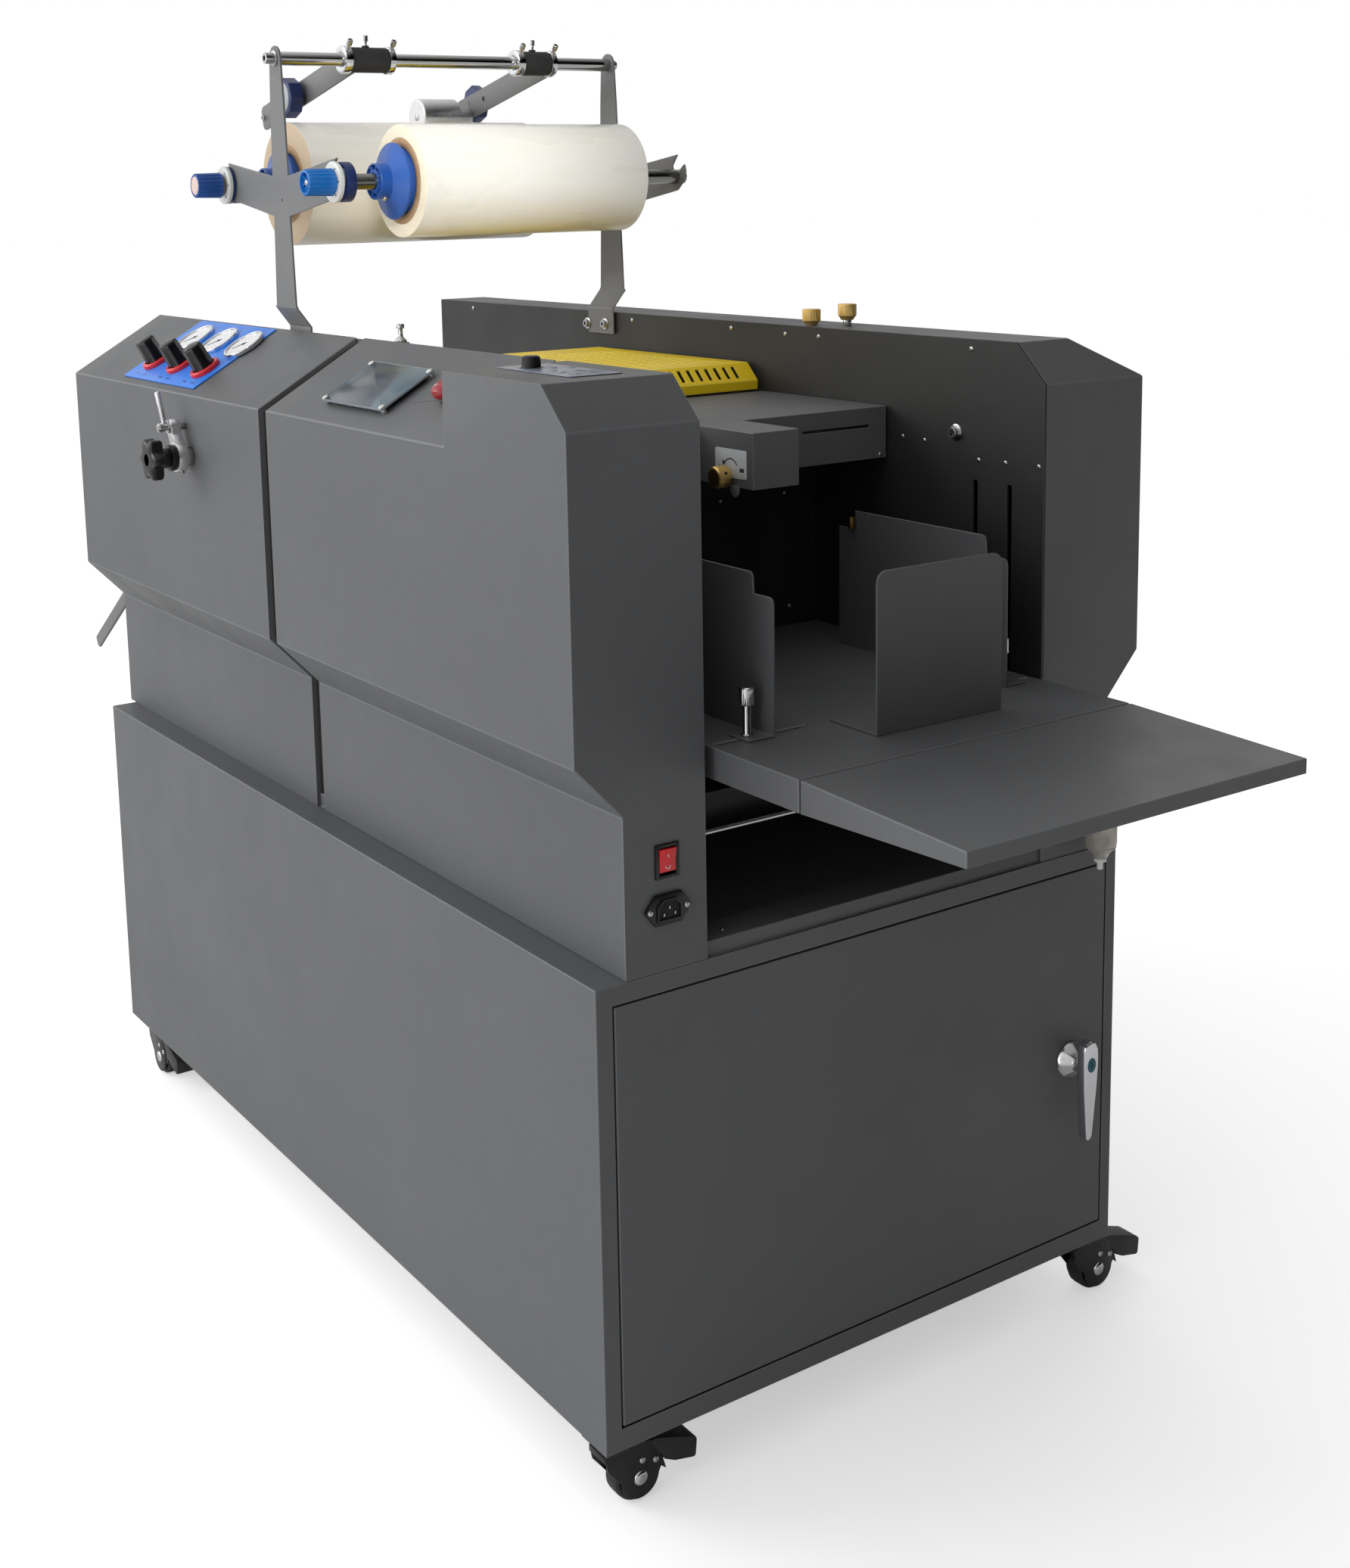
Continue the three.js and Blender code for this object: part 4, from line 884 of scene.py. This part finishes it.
def mains_inlet():
    i = Builder()
    face = facing("+x", FEEDER_FACE, 0, 0)
    flange = [(53, 580.5), (64, 566), (93, 566), (104, 580.5), (93, 595), (64, 595)]
    mouth = [(67, 572), (90, 572), (90, 583.5), (84.5, 589), (72.5, 589), (67, 583.5)]
    rim = [(65, 570), (92, 570), (92, 584.5), (85.5, 591), (71.5, 591), (65, 584.5)]
    i.prism(flange, 0.3, 3.4, black_plastic, face, 0.6)
    ring(i, rim, mouth, 3.4, 5.4, black_plastic, face)
    # Near-black plate inside the inlet's mouth: painted shade.
    i.prism(mouth, 3.3, 3.7, recess_shade, face)
    for y, z in ((72.5, 576.5), (84.5, 576.5), (78.5, 582.5)):
        i.block((y - 0.7, y + 0.7), (z - 1.5, z + 1.5), (3.6, 5.0), screw_steel, face, 0.3)
    for y in (58.5, 98.5):
        button_screw(i, facing("+x", FEEDER_FACE + 3.4, y, 580.5), 2.9)
    i.done("mains_inlet_socket", "cabinet", ["mains_inlet"])


# ---- clamp on the tail cover
LINK = (388, 913)


def clamp_link():
    b = Builder()
    x, z = LINK
    pivot_x, pivot_z = 374, 948
    back = facing("-y", 0, -24, 0)
    ring_at = back @ moved(x, z, 0)
    pivot_at = back @ moved(pivot_x, pivot_z, 0)
    b.lathe([(0, 12.6), (0, 17.5), (12.5, 17.5), (12.5, 12.6)], casting, ring_at, 64, 0.8, closed=True)
    b.lathe([(0, 9.5), (12.5, 9.5)], casting, pivot_at, 40, 0.8)
    web = [(x - 13, z + 11.5), (x + 9, z + 15), (x - 3, pivot_z - 8), (pivot_x + 9, pivot_z + 2),
           (pivot_x - 8.5, pivot_z - 4)]
    b.prism(web, 0.5, 12, casting, back, 0.8)
    b.lathe([(-7.6, 4.5), (26, 4.5)], screw_steel, pivot_at, 24, 0.4)
    cap_screw(b, pivot_at @ moved(0, 0, 19), 5.6, 6.0)
    b.lathe([(12.5, 8), (14.5, 8)], screw_steel, pivot_at, 6, 0.3)
    lever = facing("+z", pivot_x, -40.5, pivot_z) @ spun("Y", -26)
    b.lathe([(4, 3.2), (44, 3.6), (45.6, 2.4)], chrome, lever, 24, 0.3)
    bolt = ring_at @ spun("Z", -75) @ moved(17, 0, 6) @ spun("Y", 90)
    cap_screw(b, bolt, 3.6, 3.6)
    b.done("clamp_link_assembly", "link", ["clamp_link"])


def star_knob():
    k = Builder()
    star_at = facing("-y", LINK[0], -16, LINK[1])

    def star(angle):
        return 1 - 0.26 * (0.5 - 0.5 * math.cos(6 * angle)) ** 0.8

    k.lathe([(39, 15, star), (39.8, 25.4, star), (42, 27, star), (51, 27, star), (53.4, 25.6, star),
             (54.6, 22, star), (55, 13)], black_plastic, star_at, 144)
    k.lathe([(54.4, 8.2), (55, 7.6)], black_plastic, star_at, 40, 0.2)
    k.lathe([(27, 11.8), (39.4, 11.8)], black_plastic, star_at, 40, 0.4)
    k.lathe([(20.8, 15.8), (28, 15.8)], black_plastic, star_at, 48, 0.7)
    k.lathe([(0.4, 11.8), (21, 11.8)], screw_steel, star_at, 40, 0.4)
    k.done("star_knob_body", "clamp_knob", ["star_knob"])


# ---- brass knobs
def head_knob():
    b = Builder()
    place = facing("-y", 1053, 289, 932)
    b.lathe([(0.4, 7), (3, 7), (3.6, 11), (4.6, 11.5, knurl), (16, 11.5, knurl), (17, 11), (18, 9.8)],
            brass, place, 144)
    b.lathe([(17.9, 9), (18.2, 8.6)], brass_dark, place, 40)
    # The cross hole, drawn as a near-black disc: painted shade.
    hole = place @ spun("Z", 25) @ moved(0, 0, 10) @ spun("Y", 90)
    b.lathe([(11.0, 1.7), (11.65, 1.7)], recess_shade, hole, 16)
    b.done("head_knob_body", "feed_knob", ["head_knob"])


def latch_knobs():
    for number, letter, x, y, neck in ((1, "a", 850, 563, 0.5), (2, "b", 890, 583, 7.0)):
        k = Builder()
        up = facing("+z", x, y, BODY_TOP + GAP)
        k.lathe([(-7.8, 3.5), (neck + 0.5, 3.5)], screw_steel, up, 24)
        k.lathe([(0.0, 5), (neck + 0.4, 5)], screw_steel, up, 24, 0.3)
        k.lathe([(neck, 7.4), (neck + 1, 7.5), (neck + 4, 9.6), (neck + 4.8, 10.6, knurl),
                 (neck + 17.2, 10.6, knurl), (neck + 17.6, 10.3), (neck + 18, 9.9)], brass, up, 144)
        k.done(f"latch_knob_body_{letter}", f"latch_{letter}", [f"latch_knob_{number}"])


# ---- feeder
def feeder_details():
    b = Builder()
    nose = facing("-y", 0, 289, 0)
    b.prism(rounded_rect(1033, 1085, 931, 960, 2), 0.05, 0.9, label_grey, nose, 0.2)
    band = arc(1059, 938, 13, 150, 30, 10) + arc(1059, 938, 11.8, 30, 150, 10)
    b.prism(band, 0.9, 1.1, print_dark, nose)
    b.prism([(1045.5, 942.5), (1050, 945.5), (1046, 948.5)], 0.9, 1.1, print_dark, nose)
    for x in (1039, 1074):
        b.prism(rounded_rect(x, x + 7, 938, 942, 1), 0.9, 1.1, print_dark, nose)
    b.prism(arc(1066, 919, 7, 180, 360, 10) + [(1073, 924), (1059, 924)], 0.3, 2.0, paint_edge_highlight, nose, 0.3)
    button_screw(b, facing("+x", 1000, 537, 926), 2.6)
    b.done("feed_head_label", "cabinet")
    post = Builder()
    post.lathe([(0, 4), (13, 4)], brass_dark, facing("+z", 1010, 487, 850), 24, 0.4)
    post.done("guide_post", "guide_far")


def thumbscrews():
    fine = fluted(30, 0.04)
    for name, y in (("near", 180), ("far", 503)):
        b = Builder()
        place = facing("+z", 1224, y, BENCH_TOP + GAP)
        b.lathe([(-3, 2.7), (2.4, 2.7), (2.4, 6), (3.4, 6), (3.6, 4), (31, 4)], chrome, place, 40, 0.25)
        b.lathe([(30.8, 4), (31, 6.4), (31.8, 7, fine), (46.4, 7, fine), (47.2, 6.6), (48, 5.6)],
                chrome, place, 120)
        b.done(f"thumbscrew_{name}", f"screw_{name}", [f"{name}_thumbscrew"])


def under_bench():
    b = Builder()
    b.lathe([(112, 2.5), (547, 2.5)], screw_steel, facing("+y", 1212, 0, 632), 24, 0.3)
    for across in ((111.5, 114), (545, 548)):
        b.block((1206, 1218), across, (612, 650), dark_paint_and_shade, facing("+z"), 0.4)
    b.done("lift_guard_rod", "cabinet")


# ---- door handle
def door_handle():
    b = Builder()
    place = facing("+x", FEEDER_FACE + GAP, 597, 293)
    b.lathe([(0, 19), (1.5, 20), (4.5, 19.5, round_eight), (13, 10.4, round_eight), (13.6, 9.6)],
            casting, place, 64, 0.3)
    b.lathe([(13.4, 8.8), (20.6, 8.8)], casting, place, 32, 0.2)
    grip = [(-11, 20), (-9.5, 27), (-2, 31), (6, 28), (10, 20), (10.6, 6), (8.6, -22), (2.6, -76), (0, -79.5),
            (-4.4, -80), (-6.6, -77), (-10.6, -22), (-11.2, 6)]
    b.prism(grip, 20, 31.8, chrome, place, 2.0)
    lock = place @ moved(0, 4.5, 31.7)
    b.prism(ellipse(0, 0, 6, 8, 32), 0, 0.5, lock_teal, lock, 0.15)
    # The key slot, drawn in near-black: painted shade.
    b.block((-0.5, 0.5), (-3, 3), (0.45, 0.7), recess_shade, lock)
    b.done("door_lever_body", "door_handle", ["door_lever"])


# ---- casters
CASTERS = {"feeder_near": (1212, 24, 90), "feeder_far": (1212, 639, 90), "tail_near": (50, 26, 0),
           "tail_far": (50, 637, 90)}


def caster_fork(name, ground, side):
    upright = ground @ spun("X", 90)
    f = Builder()
    cheek = [(-19, 59.7), (-16, 44)] + arc(20, 25, 21, 180, 350, 14) + [(41.5, 40), (31, 59.7)]
    for low in (-14.5, 12):
        f.prism(cheek, low, low + 2.5, black_plastic, upright, 0.7)
    f.block((-19, 31), (-14.4, 14.4), (52.7, 59.7), black_plastic, ground, 1.0)
    f.block((-22, 22), (-22, 22), (64.7, 67.7), black_plastic, ground, 0.6)
    f.lathe([(59, 17), (60.5, 18), (63, 18), (65, 16)], black_plastic, ground, 40, 0.3)
    pedal = [(26, 51.7), (26, 58.7), (40, 57.7), (80, 43.7), (85, 41), (86, 37.7), (84.5, 22), (82, 20.7),
             (60, 25.7), (48.5, 31.7), (44, 38.7), (36, 47.7)]
    f.prism(pedal, -14, 14, pedal_black, upright, 1.6)
    hook = [(30, 46), (38, 44), (46, 36), (50, 22), (44, 27), (41, 21), (37, 33), (30, 38)]
    for low in (-13.5, 10.5):
        f.prism(hook, low, low + 3, black_plastic, upright, 0.5)
    for way, turn in ((1, 0), (-1, 180)):
        for dx, dz in ((2, 17.5), (17, 12.5)):
            button_screw(f, side @ spun("Y", turn) @ moved(way * dx, dz, 14.6), 3.3)
    f.done(f"caster_body_{name}", f"swivel_{name}", [f"caster_fork_{name}"])


def caster_wheel(name, side):
    w = Builder()
    w.lathe([(-10.5, 18), (-10.5, 22.5), (-8.5, 24.6), (-5, 25), (5, 25), (8.5, 24.6), (10.5, 22.5),
             (10.5, 18)], tread, side, 64, 0.3)
    w.lathe([(-11, 17), (11, 17)], black_plastic, side, 48, 0.8)
    w.lathe([(-17.4, 3.8), (17.4, 3.8)], screw_steel, side, 24, 0.3)
    angles = [math.radians(angle) for angle in (10, 30, 50, 70, 84)]
    dome = [(14.7 + 2.7 * math.sin(angle), 7.6 * math.cos(angle)) for angle in angles]
    for turn in (0, 180):
        w.lathe([(14.7, 7.6)] + dome, chrome, side @ spun("Y", turn), 32)
    w.done(f"caster_tyre_{name}", f"wheel_{name}", [f"caster_wheel_{name}"])


def casters():
    for name, (x, y, heading) in CASTERS.items():
        ground = facing("+z", x, y, 0) @ spun("Z", heading)
        side = ground @ moved(20, 0, 25) @ spun("X", 90)
        caster_fork(name, ground, side)
        caster_wheel(name, side)


# ---- the rest
def tail_lever():
    b = Builder()
    x, y, z, drop = 30.0, 37.0, 705.0, 34.0
    flat = facing("-y", x, y + 4, z) @ spun("Z", drop)
    bar = [(8, 9), (8, -9), (-226, -9), (-230, -4), (-229, 7), (-226, 9)]
    b.prism(bar, 0, 4, rack_paint, flat, 0.8)
    b.lathe([(0, 9), (107.6 - y, 9)], screw_steel, facing("+y", x, y, z), 36, 0.5)
    cap_screw(b, facing("-y", x, y, z), 4.5, 4.0)
    b.done("tail_lever_bar", "pressure_lever", ["tail_lever"])


def filter_unit():
    b = Builder()
    face = 1235.3
    axis = facing("+z", face + 26, 611, 0)
    b.block((face, face + 52), (588, 634), (600, 634), black_plastic, facing("+z"), 1.5)
    b.lathe([(596, 19), (602, 19)], black_plastic, axis, 48, 0.6)
    b.lathe([(509, 3.2), (517, 3.2), (517.5, 6.5), (524, 6.5)], white_plastic, axis, 32, 0.3)
    b.done("filter_head", "cabinet", ["filter_bowl"])
    cup = Builder()
    cup.lathe([(521, 7), (527, 9.5), (534, 16.4), (540, 17), (596, 17), (596, 15), (540, 15), (535.5, 14.2),
               (529, 8), (523, 5.5)], clear_bowl, axis, 56, 0.3, closed=True)
    cup.done("filter_cup", "cabinet")


def clamp_handle():
    """The small clamp screw and the strip behind the operator's covers."""
    b = Builder()
    b.lathe([(0, 7), (2, 7), (5, 4), (7, 2.6), (15, 2.6), (15, 4.4), (19.5, 4.4), (20, 3.6)], screw_steel,
            facing("+z", 685, 117.5, 1057), 32, 0.3)
    b.block((676, 694), (111.6, 124), (1052, 1057.2), screw_steel, facing("+z"), 0.8)
    b.done("clamp_screw", "cabinet")


def rollers():
    for node, body, z, metal, slot in (
        ("laminating_roller", "roller_top", 965.3, chrome, "roller_steel"),
        ("pressure_roller", "roller_low", 892.7, rubber, "roller_rubber"),
    ):
        b = Builder()
        place = facing("+y", 560, 0, z)
        b.lathe([(133, 36), (526, 36)], metal, place, 96, 0.8)
        b.lathe([(113, 10), (546, 10)], roller_steel, place, 32, 0.6)
        b.done(f"{node}_body", body, [node])


def motor():
    b = Builder()
    base = 521.3
    axis = facing("+y", 400, 0, base + 62)
    b.lathe([(262, 46), (266, 48), (392, 48), (396, 45)], dark_paint_and_shade, axis, 64, 0.6)
    for i in range(24):
        b.block((46, 49.2), (-0.9, 0.9), (280, 380), dark_paint_and_shade, axis @ spun("Z", 15 * i), 0.2)
    b.block((355, 445), (399, 455), (base + 14, base + 110), roller_steel, facing("+z"), 3.0)
    b.block((350, 450), (270, 450), (base, base + 16), dark_paint_and_shade, facing("+z"), 1.5)
    b.lathe([(454, 9), (490, 9)], screw_steel, facing("+y", 400, 0, base + 75), 32, 0.5)
    b.done("drive_motor_body", "cabinet", ["drive_motor"])


# ---- stage, light and camera
WINDOW_SIDE = (-0.62, -0.70, 0.42)
ROOM_DARK = 0.0
ROOM_BRIGHT = 1.0


def floor():
    """A pale floor that glows to the camera, so that it fades into the backdrop."""
    mesh = bpy.data.meshes.new("floor")
    size = 40
    corners = [(-size, -size, 0), (size, -size, 0), (size, size, 0), (-size, size, 0)]
    mesh.from_pydata(corners, [], [(0, 1, 2, 3)])
    look = Look("pale_floor", (0.86, 0.86, 0.86), 0.8)
    look.mottle(1.5, (0.88, 0.88, 0.88), 0.5)
    seen = look.nodes.new("ShaderNodeLightPath").outputs["Is Camera Ray"]
    glow = look.spread(seen, 0.0, 0.5, 0.0, 1.0)
    look.set(Emission_Color=(1, 1, 1, 1))
    look.links.new(glow, look.shader.inputs["Emission Strength"])
    mesh.materials.append(look.mat)
    ground = linked("floor", mesh)


def room():
    """A white backdrop for the camera, and ambient light that is strongest from the window side."""
    world = bpy.data.worlds.new("studio")
    world.use_nodes = True
    nodes, links = world.node_tree.nodes, world.node_tree.links
    toward = nodes.new("ShaderNodeVectorMath")
    toward.operation = "DOT_PRODUCT"
    toward.inputs[1].default_value = Vector(WINDOW_SIDE).normalized()
    links.new(nodes.new("ShaderNodeTexCoord").outputs["Generated"], toward.inputs[0])
    fade = preset(nodes.new("ShaderNodeMapRange"), From_Min=-0.7, From_Max=0.95, To_Min=ROOM_DARK,
                  To_Max=ROOM_BRIGHT)
    fade.interpolation_type = "SMOOTHSTEP"
    links.new(toward.outputs["Value"], fade.inputs["Value"])
    ambient = preset(nodes["Background"], Color=(1, 1, 1, 1))
    links.new(fade.outputs["Result"], ambient.inputs["Strength"])
    backdrop = preset(nodes.new("ShaderNodeBackground"), Color=(1, 1, 1, 1), Strength=1.0)
    mix = nodes.new("ShaderNodeMixShader")
    links.new(nodes.new("ShaderNodeLightPath").outputs["Is Camera Ray"], mix.inputs["Fac"])
    links.new(ambient.outputs["Background"], mix.inputs[1])
    links.new(backdrop.outputs["Background"], mix.inputs[2])
    links.new(mix.outputs["Shader"], nodes["World Output"].inputs["Surface"])
    bpy.context.scene.world = world


def lamp(name, place, target, size, power):
    data = bpy.data.lights.new(name, "AREA")
    data.shape = "RECTANGLE"
    data.size, data.size_y = size
    data.energy = power
    light = linked(name, data)
    light.location = place
    light.rotation_euler = (Vector(target) - Vector(place)).to_track_quat("-Z", "Y").to_euler()
    return data


def lights():
    lamp("key", (-2.3, -3.1, 2.3), (0, 0, 0.75), (2.4, 1.6), 45)
    lamp("side", (0.6, -3.6, 0.55), (0, -0.3, 0.4), (2.4, 1.0), 17)
    lamp("back", (-1.5, 3.6, 2.4), (0, 0, 0.8), (2.2, 1.6), 12)
    fill = lamp("rack_fill", (1.75, -1.0, 1.9), (-0.22, 0.03, 1.17), (0.3, 0.3), 0.36)
    fill.spread = math.radians(15)
    bpy.context.scene.view_settings.view_transform = "Standard"


CAMERA = {"place": (2629.565, -883.938, 1221.19), "heading": 55.94, "tilt": 80.707, "roll": -1.124,
          "lens": 45.33, "shift": (0.0222, -0.1753)}


def camera():
    data = bpy.data.cameras.new("camera")
    data.lens = CAMERA["lens"]
    data.shift_x, data.shift_y = CAMERA["shift"]
    data.clip_end = 60
    view = linked("camera", data)
    view.matrix_world = (Matrix.Translation(at(*CAMERA["place"])) @ spun("Z", CAMERA["heading"])
                         @ spun("X", CAMERA["tilt"]) @ spun("Z", CAMERA["roll"]))
    bpy.context.scene.camera = view


camera()
floor()
room()
lights()
sheet_metal()
wall_screws()
cover_gap()
rack_fixings()
for which in ("front", "rear"):
    for make in (spindle_rod, rack_discs, film_chucks, wound_film, film_knob, trim_arm, trim_wheel):
        make(which)
weight()
regulator_plate()
gauges()
regulator_knobs()
screen()
stop_switch()
keypad()
speed_knob()
rocker()
mains_inlet()
clamp_link()
star_knob()
head_knob()
latch_knobs()
feeder_details()
thumbscrews()
under_bench()
door_handle()
casters()
tail_lever()
filter_unit()
clamp_handle()
rollers()
motor()
